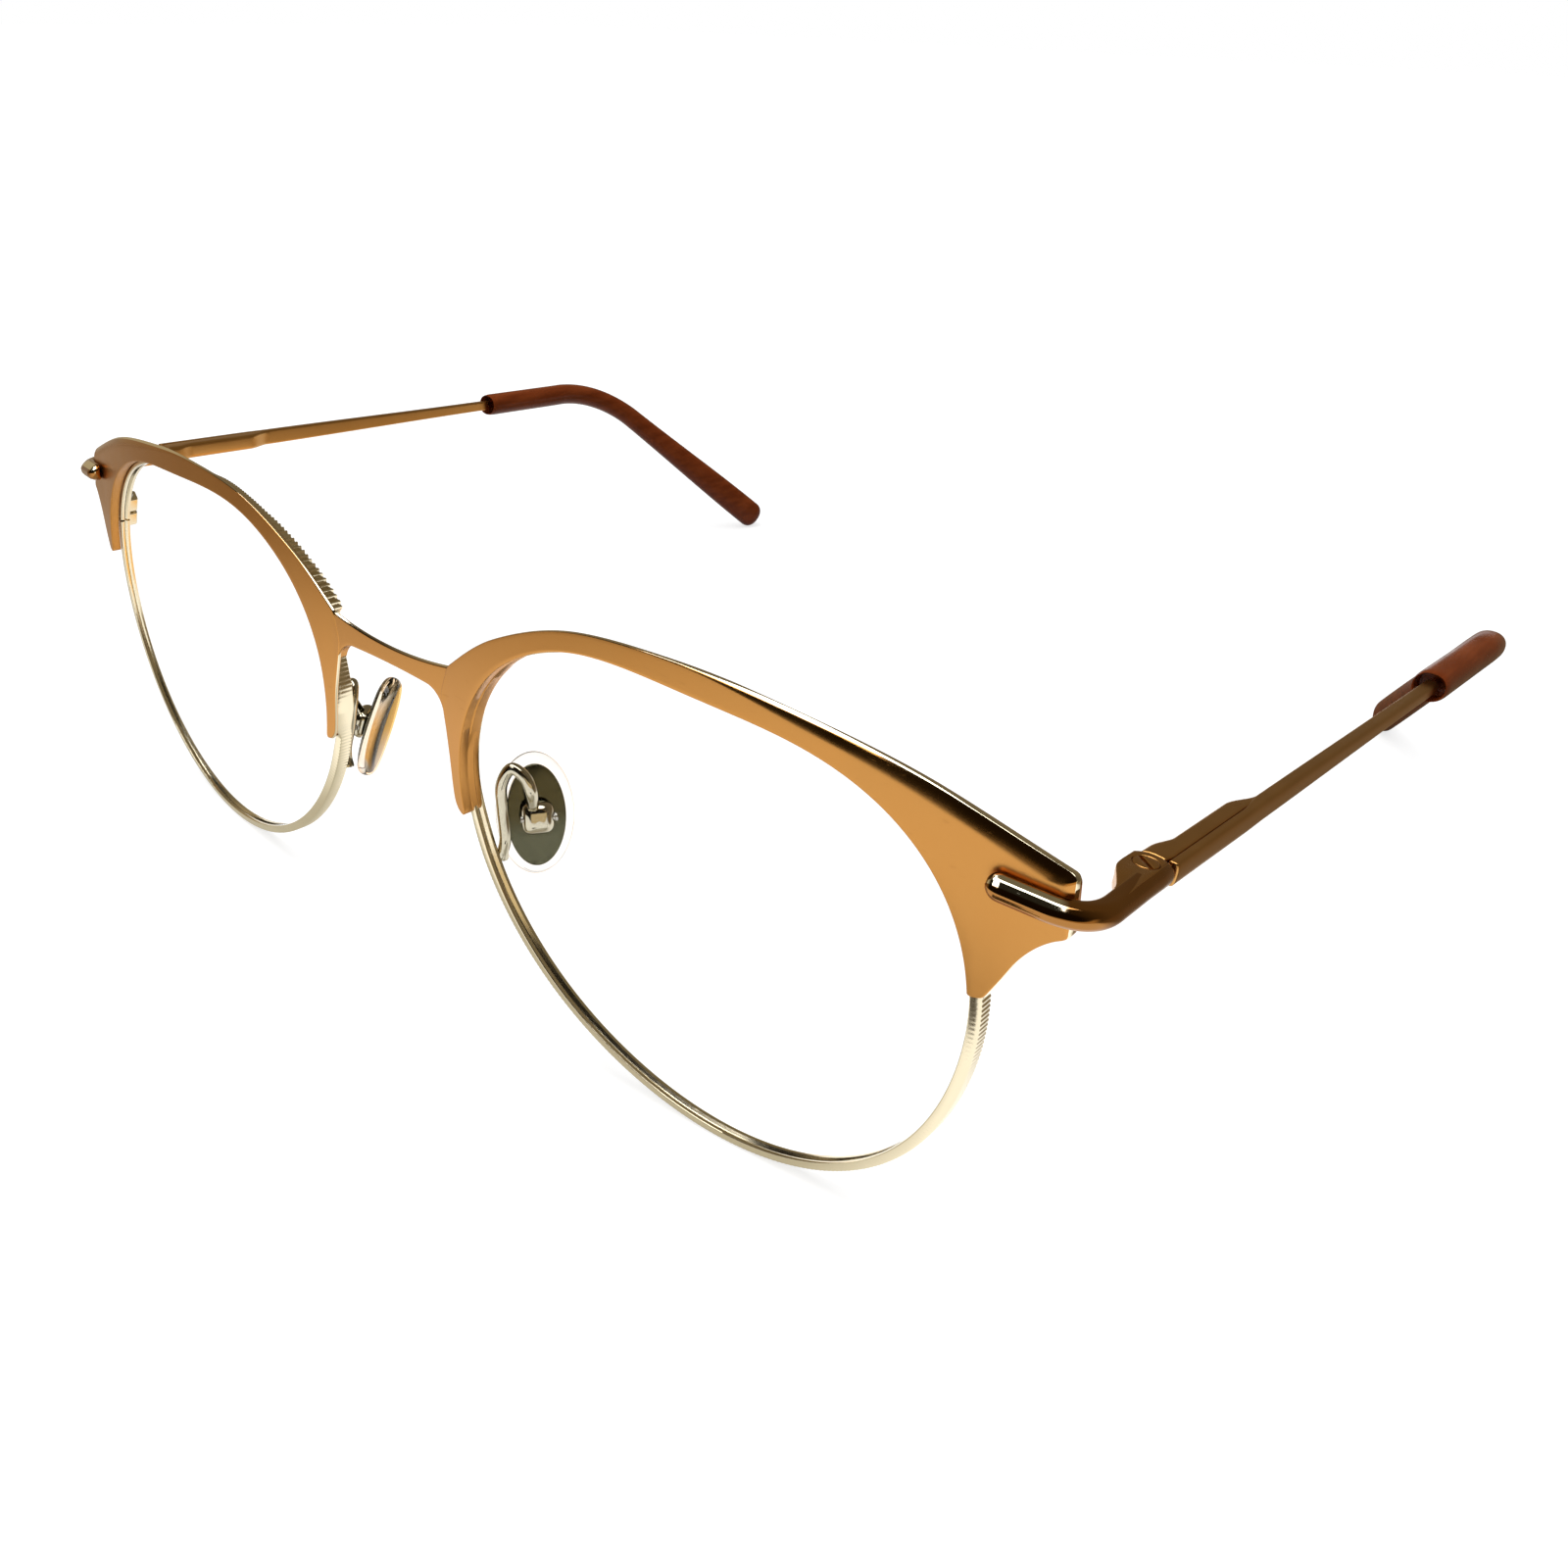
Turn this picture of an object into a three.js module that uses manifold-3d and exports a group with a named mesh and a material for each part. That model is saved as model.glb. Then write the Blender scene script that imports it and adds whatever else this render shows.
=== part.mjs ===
// Round browline eyeglasses: a stamped brow front over two silver rims, with spring-hinged temples.
// Millimetres. Modelled as worn: +X is the wearer's left, +Y runs back along the temples, +Z is up.
// At the end the frame is laid down, so that both rims and both temple tips stand on Z = 0.

import * as THREE from "three";
import { mergeVertices } from "three/addons/utils/BufferGeometryUtils.js";
import Module from "manifold-3d";

const wasm = await Module();
wasm.setup();

// Eye shape: the rim's centre line, as a radius that swells and dips round the eye
const EYE_CENTRE = 36.6; // from the middle of the nose to the middle of an eye
const EYE_RADIUS = 24.6;
const EYE_WIDENING = 1.5; // wider than high
const EYE_SKEW = 1.2; // fuller at the upper nasal and the lower temporal corner
const EYE_DROP = 1.0; // flatter on top, deeper below
const EYE_TAPER = 0.4; // fuller beside the nose than at the temple
const EYE_SQUARENESS = 0.4;

// Front surface: tilted, wrapped and domed as one
const TILT = THREE.MathUtils.degToRad(6);
const WRAP = THREE.MathUtils.degToRad(5.5);
const BASE_CURVE = 140;

// Brow front: edge points are given by eye angle in degrees and width out from the rim's centre line
const SHEET = 1.2;
const BROW_OVERHANG = 0.15; // inwards from the rim's centre line
const NASAL_LEG = { end: 180, offset: 0.5, middle: 168, middleOffset: 1.4 };
const BRIDGE_LOW = { angle: 158, offset: 3.7 };
const BRIDGE_HIGH = { angle: 153, offset: 4.1 };
const BRIDGE_SAG = 0.8; // dip of the bridge's top edge
const BRIDGE_ARCH = 0.3; // rise of the bridge's lower edge
const BRIDGE_ROOT = 1.4; // how far the bridge runs into each brow
const BROW_TOP = [
  [140, 2.2],
  [121, 1.6],
  [96, 2.1],
  [70, 2.1],
  [47, 3.7],
];
const WING_REACH = 5.3; // beyond the rim's centre line at the temple
const WING_TOP = 17.1;
const WING_BOTTOM = 11.9;
const WING_SLANT = 0.5; // top corner nearer the nose than the lower one
const FLARE = { angle: 15.5, offset: 2.5 }; // hollow under the wing
const TEMPORAL_LEG = { end: 11.5, offset: 1.1 };
const BROW_FAN = { bridge: 149, wingTop: 30, wingBottom: 22 }; // eye angles across from the corners
const BROW_ACROSS = [0, 0.35, 0.7, 1]; // places across the sheet, from the lens side out
const BRIDGE_INSET = 0.05; // bridge thinner than the brows on each face

// Rims, lenses and rim locks
const RIM_WIDTH = 1.0;
const RIM_DEPTH = 1.2;
const GROOVE_DEPTH = 0.3;
const GROOVE_WIDTH = 0.7;
const LENS_THICKNESS = 1.4;
const LENS_RINGS = { hub: 0.1, middle: 0.55 }; // places across a lens face
const LOCK_ANGLE = 22;
const LOCK_SPLIT = 0.3; // gap between the two lock blocks
const LOCK_BLOCK = { out: 1.8, deep: 2.6, tall: 1.9, start: 0.4 };
const LOCK_SCREW = { radius: 0.45, headRadius: 0.8, headHeight: 0.5, slot: 0.25, slotDepth: 0.2 };

// Nose pads, seen in their own frame: x across, y along, z towards the nose
const PAD_LENGTH = 13.0;
const PAD_WIDTH = 8.4;
const PAD_THICKNESS = 2.2;
const PAD_OUT = 1.4; // pad's middle, sideways from the rim's nasal edge
const PAD_BACK = 7.3; // pad's middle, behind the front surface
const PAD_DOWN = 2.2; // pad's middle, below the eye's middle
const PAD_SPLAY = THREE.MathUtils.degToRad(30);
const PAD_FLARE = 0.25; // sideways lean of the pad's long axis
const PAD_LEAN = 0.1; // backward lean of the pad's long axis
const PAD_PROFILE = [
  [0.84, -1],
  [0.97, -0.4],
  [1, 0.1],
  [0.95, 0.6],
  [0.8, 1],
]; // share of the oval's size against share of half the thickness
const CORE_LENGTH = 10.8;
const CORE_WIDTH = 6.4;
const CORE_THICKNESS = 0.6;
const TAB = { across: 1.0, along: 1.8, tall: 1.5 };
const BOX_WALL = 0.5;
const BOX_DEEP = 1.5;
const PAD_ROCK_GAP = 0.3; // between the core plate and the box's rim
const PAD_SCREW_RADIUS = 0.35;
const PAD_WIRE = 0.8;
const PAD_ARM_ROOT = 193; // eye angle of the arm's foot on the rim
const PAD_HAIRPIN = [
  [3.4, -1.8, -2.2],
  [3.4, 1.2, -2.3],
  [3.2, 3.2, -2.7],
  [2.3, 4.6, -3.4],
  [1.3, 3.4, -4.2],
  [0.6, 1.4, -4.7],
];

// Endpieces and spring hinges, in the hinge's own frame: y back along the temple
const SPLAY = THREE.MathUtils.degToRad(3);
const DROOP = THREE.MathUtils.degToRad(0.7); // temples slope down a little from the hinges
const HINGE_SETBACK = 8.4; // hinge screw behind the wing
const HINGE_HEIGHT = 14.6; // hinge above the eye's middle
const BAR_LENGTH = 5.8; // endpiece bar on the front of the wing
const BAR_RISE = 0.8; // inner end of the bar above its outer end
const BAR_DEPTH = 1.7;
const BAR_WIDTH = 1.8; // endpiece and temple across, from the hinge screw outwards
const BAR_HEIGHT = 2.2;
const WING_CLEARANCE = 0.45;
const BAR_TURN = 1.0; // length of the bend on each side of the corner
const BAR_NOSE = [
  [0, 0.5],
  [0.04, 0.7],
  [0.12, 1],
  [0.5, 1],
]; // share of the way to the bend against share of the section's size
const BAR_SECTION = [
  [1, 0.45],
  [0.7, 0.85],
  [0.2, 1],
  [-0.7, 1],
  [-1, 0.7],
  [-1, -0.7],
  [-0.7, -1],
  [0.2, -1],
  [0.7, -0.85],
  [1, -0.45],
]; // outer and upper side, in shares of half the width and half the height
const SPLIT_PLACE = 2.0; // endpiece's end, behind the hinge screw
const SPLIT_GAP = 0.36;
const SPLIT_CHAMFER = 0.4;
const KNUCKLE_RADIUS = 1.05;
const KNUCKLE_WEB = 0.65;
const TONGUE_HEIGHT = 0.66;
const TONGUE_WIDTH = 0.6;
const HINGE_SCREW = { radius: 0.4, headRadius: 0.82, headHeight: 0.3, slot: 0.25, slotDepth: 0.15 };
const ROD_RADIUS = 0.22;
const ROD_LENGTH = 11.4;
const ROD_HEAD = { radius: 0.42, length: 0.8 };
const HOUSING_WALL = 0.2; // beside the bore, on the inner side
const HOUSING_HEIGHT = 2.0;
const HOUSING_LENGTH = 16.6;
const HOUSING_SLOPE = 1.8; // slanted rear end
const BORE_RADIUS = 0.5;
const STOP_INSET = 0.64;
const STOP_LENGTH = 1.5;
const SPRING_WIRE = 0.2;
const SPRING_TURNS = 12;
const SPRING_END_GAP = 0.1;

// Temples
const ARM_THICKNESS = 0.85;
const ARM_HEIGHT = 2.0;
const ARM_TIP_HEIGHT = 1.4;
const ARM_LENGTH = 61; // from the hinge's split to the tip
const WIRE_THICKNESS = 0.8;
const WIRE_HEIGHT = 1.1;
const TIP_STRAIGHT = 16.5;
const TIP_BEND_RADIUS = 32;
const TIP_BEND = THREE.MathUtils.degToRad(34.5);
const TIP_INWARD = THREE.MathUtils.degToRad(25);
const TIP_TAIL = 35;
const TIP_HEIGHT = 2.8;
const TIP_THICKNESS = 3.0;
const TIP_END_HEIGHT = 5.2;
const TIP_END_THICKNESS = 3.2;
const TIP_SOLID_END = 12; // solid length past the end of the core wire
const TIP_SWELL = 0.45; // share of the length where the tip starts to swell
const TIP_ROUNDING = [
  [0.9, 0.94],
  [1.7, 0.76],
  [2.2, 0.4],
]; // distance past the end against share of the section's size

// Clearances
const SHEET_GAP = 0.1; // between the sheet and what lies behind or before it
const SEAT = 0.1; // between pieces that sit against each other
const RUNNING = 0.05; // round a screw or a rod
const ROUND_STEPS = 14; // sides of small round pieces
const EYE_STEPS = 44;

const material = (color, roughness, metalness) =>
  new THREE.MeshStandardMaterial({ color, roughness, metalness });
const finishes = {
  satinGold: () => material(0xb98241, 0.45, 1),
  polishedGold: () => material(0xa4702f, 0.15, 1),
  silver: () => material(0xb8b39c, 0.25, 1),
  steel: () => material(0x9a9a96, 0.3, 1),
  silicone: () => material(0xf2efe6, 0.2, 0),
  acetate: () => material(0x7a2f14, 0.25, 0),
  lens: () => material(0xf4f8f8, 0.05, 0),
};

// Turns a skin right side out.
function outward(geometry) {
  const p = geometry.attributes.position;
  const index = geometry.index.array;
  const [a, b, c] = [new THREE.Vector3(), new THREE.Vector3(), new THREE.Vector3()];
  let volume = 0;
  for (let i = 0; i < index.length; i += 3) {
    a.fromBufferAttribute(p, index[i]);
    b.fromBufferAttribute(p, index[i + 1]);
    c.fromBufferAttribute(p, index[i + 2]);
    volume += a.dot(b.cross(c));
  }
  if (volume < 0) {
    for (let i = 0; i < index.length; i += 3) [index[i], index[i + 1]] = [index[i + 1], index[i]];
  }
  return geometry;
}

// Triangles that fill one ring of points, wound the way the ring runs.
function capRing(ring) {
  const normal = new THREE.Vector3();
  ring.forEach((p, i) => normal.add(p.clone().cross(ring[(i + 1) % ring.length])));
  normal.normalize();
  const across = ring[1].clone().sub(ring[0]).normalize();
  const along = normal.clone().cross(across);
  const flat = ring.map((p) => new THREE.Vector2(p.dot(across), p.dot(along)));
  const way = Math.sign(THREE.ShapeUtils.area(flat));
  return THREE.ShapeUtils.triangulateShape(flat, []).map(([a, b, c]) =>
    THREE.ShapeUtils.area([flat[a], flat[b], flat[c]]) * way < 0 ? [a, c, b] : [a, b, c],
  );
}

// A closed skin through rings of points, each joined to the next, capped at both ends.
function loft(rings) {
  const count = rings[0].length;
  const index = [];
  for (let i = 0; i + 1 < rings.length; i++) {
    const here = i * count;
    const next = here + count;
    for (let j = 0; j < count; j++) {
      const k = (j + 1) % count;
      index.push(here + j, next + j, next + k, here + j, next + k, here + k);
    }
  }
  const last = (rings.length - 1) * count;
  capRing(rings[0]).forEach(([a, b, c]) => index.push(a, b, c));
  capRing(rings.at(-1)).forEach(([a, b, c]) => index.push(last + a, last + c, last + b));
  const geometry = new THREE.BufferGeometry();
  const points = rings.flat().flatMap((p) => [p.x, p.y, p.z]);
  geometry.setAttribute("position", new THREE.Float32BufferAttribute(points, 3));
  geometry.setIndex(index);
  return outward(geometry);
}

function solidOf(geometry) {
  const bare = new THREE.BufferGeometry();
  bare.setAttribute("position", geometry.attributes.position.clone());
  if (geometry.index) bare.setIndex(geometry.index.clone());
  const merged = mergeVertices(bare, 1e-4);
  return new wasm.Manifold(
    new wasm.Mesh({
      numProp: 3,
      vertProperties: merged.attributes.position.array,
      triVerts: new Uint32Array(merged.index.array),
    }),
  );
}

function geometryOf(solid) {
  const mesh = solid.getMesh();
  const geometry = new THREE.BufferGeometry();
  geometry.setAttribute("position", new THREE.BufferAttribute(mesh.vertProperties, 3));
  geometry.setIndex(new THREE.BufferAttribute(mesh.triVerts, 1));
  return geometry;
}

const join = (...parts) => geometryOf(parts.map(solidOf).reduce((a, b) => a.add(b)));
const cut = (body, ...tools) =>
  geometryOf(tools.map(solidOf).reduce((rest, tool) => rest.subtract(tool), solidOf(body)));

function box(x, y, z) {
  const size = [x, y, z].map(([low, high]) => high - low);
  const middle = [x, y, z].map(([low, high]) => (low + high) / 2);
  return new THREE.BoxGeometry(...size).translate(...middle);
}

// A round bar along one axis ("x", "y" or "z"), between two places on it.
function bar(axis, radius, low, high) {
  const rod = new THREE.CylinderGeometry(radius, radius, high - low, ROUND_STEPS);
  rod.translate(0, (low + high) / 2, 0);
  if (axis === "x") rod.rotateZ(-Math.PI / 2);
  if (axis === "z") rod.rotateX(Math.PI / 2);
  return rod;
}

// A flat outline in x and y, pulled up between two heights.
function plate(outline, low, high) {
  const shape = outline instanceof THREE.Shape ? outline : new THREE.Shape(outline);
  const options = { depth: high - low, bevelEnabled: false, curveSegments: ROUND_STEPS / 2 };
  return new THREE.ExtrudeGeometry(shape, options).translate(0, 0, low);
}

// A slotted screw along z: the shank runs from a foot up to the seat, the head stands on the seat.
function slottedScrew(size, foot, seat) {
  const top = seat + size.headHeight;
  const reach = 2 * size.headRadius;
  const shank = bar("z", size.radius, foot, seat + size.headHeight / 2);
  const head = bar("z", size.headRadius, seat, top);
  const slot = box([-reach, reach], [-size.slot / 2, size.slot / 2], [top - size.slotDepth, top + 1]);
  return cut(join(shank, head), slot);
}

// Eye outline and front surface

function eyeRadius(angle) {
  return (
    EYE_RADIUS +
    EYE_WIDENING * Math.cos(2 * angle) -
    EYE_SKEW * Math.sin(2 * angle) +
    EYE_DROP * Math.sin(3 * angle) -
    EYE_TAPER * Math.cos(3 * angle) -
    EYE_SQUARENESS * Math.cos(4 * angle)
  );
}

function eyeCentreLine(angle) {
  const r = eyeRadius(angle);
  return new THREE.Vector2(EYE_CENTRE + r * Math.cos(angle), r * Math.sin(angle));
}

// Direction straight out from the eye's outline.
function eyeOutward(angle) {
  const step = 1e-3;
  const tangent = eyeCentreLine(angle + step).sub(eyeCentreLine(angle - step)).normalize();
  return new THREE.Vector2(tangent.y, -tangent.x);
}

const eyeAt = (angle, offset) => eyeCentreLine(angle).addScaledVector(eyeOutward(angle), offset);
const eyeAtDegrees = (degrees, offset) => eyeAt(THREE.MathUtils.degToRad(degrees), offset);

const bridgeLow = eyeAtDegrees(BRIDGE_LOW.angle, BRIDGE_LOW.offset);
const bridgeHigh = eyeAtDegrees(BRIDGE_HIGH.angle, BRIDGE_HIGH.offset);
const creaseX = Math.max(bridgeLow.x, bridgeHigh.x);

// How far back the front surface lies; between the bridge's two creases it runs straight across.
function surfaceBack(x, z) {
  const u = Math.max(Math.abs(x), creaseX) - EYE_CENTRE;
  return -Math.tan(TILT) * z + Math.tan(WRAP) * u + (u * u + z * z) / (2 * BASE_CURVE);
}

const onFront = (point, depth) =>
  new THREE.Vector3(point.x, surfaceBack(point.x, point.y) + depth, point.y);

// Shifts a geometry that is drawn with y as depth, so that it follows the front surface.
function followFront(geometry) {
  const p = geometry.attributes.position;
  for (let i = 0; i < p.count; i++) p.setY(i, p.getY(i) + surfaceBack(p.getX(i), p.getZ(i)));
  return geometry;
}

const rimFront = SHEET / 2 + SHEET_GAP;
const rimBack = rimFront + RIM_DEPTH;
const rimMiddle = rimFront + RIM_DEPTH / 2;
const rimHalf = RIM_WIDTH / 2;
const wingX = eyeCentreLine(0).x + WING_REACH;

// Brow front: a sheet between the rim's lens side and the outer edge, crossed by the bridge

function spline(points, steps) {
  return new THREE.SplineCurve(points).getPoints(steps);
}

// Pairs of points on the two edges of one brow, from the nasal leg over the top to the temporal leg.
function browEdges() {
  const nasal = [
    eyeAtDegrees(NASAL_LEG.end, NASAL_LEG.offset),
    eyeAtDegrees(NASAL_LEG.middle, NASAL_LEG.middleOffset),
    bridgeLow,
  ];
  const wingTop = new THREE.Vector2(wingX - WING_SLANT, WING_TOP);
  const wingBottom = new THREE.Vector2(wingX, WING_BOTTOM);
  const top = [bridgeHigh, ...BROW_TOP.map(([angle, offset]) => eyeAtDegrees(angle, offset)), wingTop];
  const flare = [
    wingBottom,
    eyeAtDegrees(FLARE.angle, FLARE.offset),
    eyeAtDegrees(TEMPORAL_LEG.end, TEMPORAL_LEG.offset),
  ];
  const runs = [
    { outer: spline(nasal, 8), from: NASAL_LEG.end, to: BRIDGE_LOW.angle },
    { outer: spline([bridgeLow, bridgeHigh], 3), from: BRIDGE_LOW.angle, to: BROW_FAN.bridge },
    { outer: spline(top, 30), from: BROW_FAN.bridge, to: BROW_FAN.wingTop },
    { outer: spline([wingTop, wingBottom], 3), from: BROW_FAN.wingTop, to: BROW_FAN.wingBottom },
    { outer: spline(flare, 8), from: BROW_FAN.wingBottom, to: TEMPORAL_LEG.end },
  ];
  return runs.flatMap(({ outer, from, to }, run) =>
    outer.slice(run ? 1 : 0).map((point, i) => {
      const share = (i + (run ? 1 : 0)) / (outer.length - 1);
      return { outer: point, inner: eyeAtDegrees(from + (to - from) * share, -BROW_OVERHANG) };
    }),
  );
}

// One brow: a strip between its two edges, bent to the front surface.
function browSheet() {
  const half = SHEET / 2;
  const rings = browEdges().map(({ inner, outer }) => {
    const line = BROW_ACROSS.map((share) => inner.clone().lerp(outer, share));
    const front = line.map((point) => onFront(point, -half));
    const back = line.map((point) => onFront(point, half));
    return [...front, ...back.reverse()];
  });
  return loft(rings);
}

// Strip between the two brows, flat from crease to crease.
function bridge() {
  const half = SHEET / 2 - BRIDGE_INSET;
  const steps = 12;
  const reach = creaseX + BRIDGE_ROOT;
  const rings = Array.from({ length: steps + 1 }, (_, i) => {
    const x = reach * ((2 * i) / steps - 1);
    const dip = Math.max(0, 1 - (x / creaseX) ** 2);
    const low = new THREE.Vector2(x, bridgeLow.y + BRIDGE_ARCH * dip);
    const high = new THREE.Vector2(x, bridgeHigh.y - BRIDGE_SAG * dip);
    return [onFront(low, -half), onFront(high, -half), onFront(high, half), onFront(low, half)];
  });
  return loft(rings);
}

const mirrored = (geometry) => outward(geometry.clone().scale(-1, 1, 1));

function browFront() {
  const brow = browSheet();
  return join(brow, bridge(), mirrored(brow));
}

// Rims and lenses

const lockAngle = THREE.MathUtils.degToRad(LOCK_ANGLE);

// Grooved wire round the eye, open at the rim lock.
function rim() {
  const section = [
    [rimHalf, rimFront],
    [rimHalf, rimBack],
    [-rimHalf, rimBack],
    [-rimHalf, rimMiddle + GROOVE_WIDTH / 2],
    [-rimHalf + GROOVE_DEPTH, rimMiddle],
    [-rimHalf, rimMiddle - GROOVE_WIDTH / 2],
    [-rimHalf, rimFront],
  ];
  const half = LOCK_SPLIT / 2 / eyeRadius(lockAngle);
  const rings = Array.from({ length: EYE_STEPS + 1 }, (_, i) => {
    const angle = lockAngle + half + ((2 * Math.PI - 2 * half) * i) / EYE_STEPS;
    return section.map(([out, depth]) => onFront(eyeAt(angle, out), depth));
  });
  return loft(rings);
}

// Domed lens whose edge has a ridge in the rim's groove.
function lens() {
  const faceEdge = -rimHalf - SEAT;
  const ridge = faceEdge + GROOVE_DEPTH - SEAT / 2;
  const half = LENS_THICKNESS / 2;
  const bevel = GROOVE_WIDTH / 2 - SEAT / 2;
  const centre = new THREE.Vector2(EYE_CENTRE, 0);
  const ring = (share, offset, depth) =>
    Array.from({ length: EYE_STEPS }, (_, i) => {
      const edge = eyeAt((2 * Math.PI * i) / EYE_STEPS, offset);
      return onFront(centre.clone().lerp(edge, share), rimMiddle + depth);
    });
  return loft([
    ring(LENS_RINGS.hub, faceEdge, -half),
    ring(LENS_RINGS.middle, faceEdge, -half),
    ring(1, faceEdge, -half),
    ring(1, faceEdge, -bevel),
    ring(1, ridge, 0),
    ring(1, faceEdge, bevel),
    ring(1, faceEdge, half),
    ring(LENS_RINGS.middle, faceEdge, half),
    ring(LENS_RINGS.hub, faceEdge, half),
  ]);
}

// Rim lock: drawn with x out from the eye, y as depth and z up along the rim, then set on the rim
function setOnRim(geometry) {
  const out = eyeOutward(lockAngle);
  const foot = eyeAt(lockAngle, rimHalf + SEAT);
  geometry.rotateY(-Math.atan2(out.y, out.x)).translate(foot.x, 0, foot.y);
  return followFront(geometry);
}

const lockFront = rimFront + LOCK_BLOCK.start;
const lockDepth = [lockFront, lockFront + LOCK_BLOCK.deep];
const lockScrewOut = LOCK_BLOCK.out / 2;
const lockScrewDepth = (lockDepth[0] + lockDepth[1]) / 2;

// One of the two blocks that the lock screw draws together.
function lockBlock(low, high) {
  const block = box([0, LOCK_BLOCK.out], lockDepth, [low, high]);
  const hole = bar("z", LOCK_SCREW.radius + RUNNING, low - 1, high + 1);
  return setOnRim(cut(block, hole.translate(lockScrewOut, lockScrewDepth, 0)));
}

function lockScrew() {
  const top = LOCK_SPLIT / 2 + LOCK_BLOCK.tall + RUNNING;
  const screw = slottedScrew(LOCK_SCREW, -top + 2 * RUNNING, top);
  return setOnRim(screw.translate(lockScrewOut, lockScrewDepth, 0));
}

// Nose pads

const padRim = new THREE.Vector2(eyeCentreLine(Math.PI).x, -PAD_DOWN);
const padMiddle = new THREE.Vector3(
  padRim.x + PAD_OUT,
  surfaceBack(padRim.x, padRim.y) + PAD_BACK,
  padRim.y,
);

function padFrame() {
  const along = new THREE.Vector3(-PAD_FLARE, PAD_LEAN, 1).normalize();
  const nose = new THREE.Vector3(-Math.cos(PAD_SPLAY), Math.sin(PAD_SPLAY), 0);
  nose.addScaledVector(along, -nose.dot(along)).normalize();
  const across = along.clone().cross(nose);
  return new THREE.Matrix4().makeBasis(across, along, nose).setPosition(padMiddle);
}

function oval(width, length) {
  const shape = new THREE.Shape();
  shape.absellipse(0, 0, width / 2, length / 2, 0, 2 * Math.PI);
  return shape;
}

const ovalPoints = (width, length) => oval(width, length).getPoints(12).slice(1);

const padBackFace = -PAD_THICKNESS / 2;
const coreBack = padBackFace - SEAT;
const coreFront = coreBack + CORE_THICKNESS;
const boxMouth = coreBack - PAD_ROCK_GAP;
const boxBack = boxMouth - BOX_DEEP;
const padPivot = boxMouth - BOX_DEEP / 2 + BOX_WALL / 4;

// Soft oval: narrow back, full waist and a flat bearing face with a rounded edge, pocketed for the core.
function nosePad() {
  const half = PAD_THICKNESS / 2;
  const rings = PAD_PROFILE.map(([share, level]) =>
    ovalPoints(PAD_WIDTH * share, PAD_LENGTH * share).map((p) => new THREE.Vector3(p.x, p.y, level * half)),
  );
  const pocket = oval(CORE_WIDTH + 2 * SEAT, CORE_LENGTH + 2 * SEAT);
  return cut(loft(rings), plate(pocket, -PAD_THICKNESS, coreFront + SEAT));
}

// Oval plate in the pad, with a drilled tab on its back.
function padCore() {
  const corePlate = plate(oval(CORE_WIDTH, CORE_LENGTH), coreBack, coreFront);
  const foot = coreBack - PAD_ROCK_GAP - TAB.tall + 2 * SEAT;
  const along = [-TAB.along / 2, TAB.along / 2];
  const tab = box([-TAB.across / 2, TAB.across / 2], along, [foot + BOX_WALL, coreBack + SEAT]);
  const hole = bar("x", PAD_SCREW_RADIUS + RUNNING, -TAB.across, TAB.across);
  return cut(join(corePlate, tab), hole.translate(0, 0, padPivot));
}

const boxInside = { across: TAB.across / 2 + SEAT, along: TAB.along / 2 + 3 * SEAT };

// Open cup round the core's tab.
function padBox() {
  const across = boxInside.across + BOX_WALL;
  const along = boxInside.along + BOX_WALL;
  const shell = box([-across, across], [-along, along], [boxBack, boxMouth]);
  const inside = box(
    [-boxInside.across, boxInside.across],
    [-boxInside.along, boxInside.along],
    [boxBack + BOX_WALL, boxMouth + 1],
  );
  const hole = bar("x", PAD_SCREW_RADIUS + RUNNING, -across - 1, across + 1);
  return cut(shell, inside, hole.translate(0, 0, padPivot));
}

function padScrew() {
  const reach = boxInside.across + BOX_WALL;
  return bar("x", PAD_SCREW_RADIUS, -reach, reach).translate(0, 0, padPivot);
}

// Hairpin wire from the rim's back, over a loop, down to the back of the pad box.
function padArm() {
  const root = onFront(eyeAtDegrees(PAD_ARM_ROOT, 0), rimBack + PAD_WIRE / 2 + SEAT);
  const frame = padFrame();
  const inPad = (x, y, z) => new THREE.Vector3(x, y, z).applyMatrix4(frame);
  const hairpin = PAD_HAIRPIN.map((point) => inPad(...point));
  const end = [inPad(0, 0, boxBack - PAD_WIRE), inPad(0, 0, boxBack - SEAT)];
  const path = new THREE.CatmullRomCurve3([root, ...hairpin, ...end], false, "centripetal");
  const round = new THREE.Shape();
  round.absarc(0, 0, PAD_WIRE / 2, 0, 2 * Math.PI);
  const options = { steps: 30, extrudePath: path, bevelEnabled: false, curveSegments: 5 };
  return new THREE.ExtrudeGeometry(round, options);
}

// Endpieces and hinges

const hinge = new THREE.Vector3(
  wingX + WING_CLEARANCE + HINGE_SETBACK * Math.tan(SPLAY),
  surfaceBack(wingX, HINGE_HEIGHT) + HINGE_SETBACK,
  HINGE_HEIGHT,
);
const inHinge = (x, y) =>
  new THREE.Vector3(x, y, 0).applyAxisAngle(new THREE.Vector3(0, 0, 1), -SPLAY).add(hinge);
const barHalf = BAR_HEIGHT / 2;
const knuckleBack = KNUCKLE_RADIUS + KNUCKLE_WEB + 1.5 * SEAT;

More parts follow.
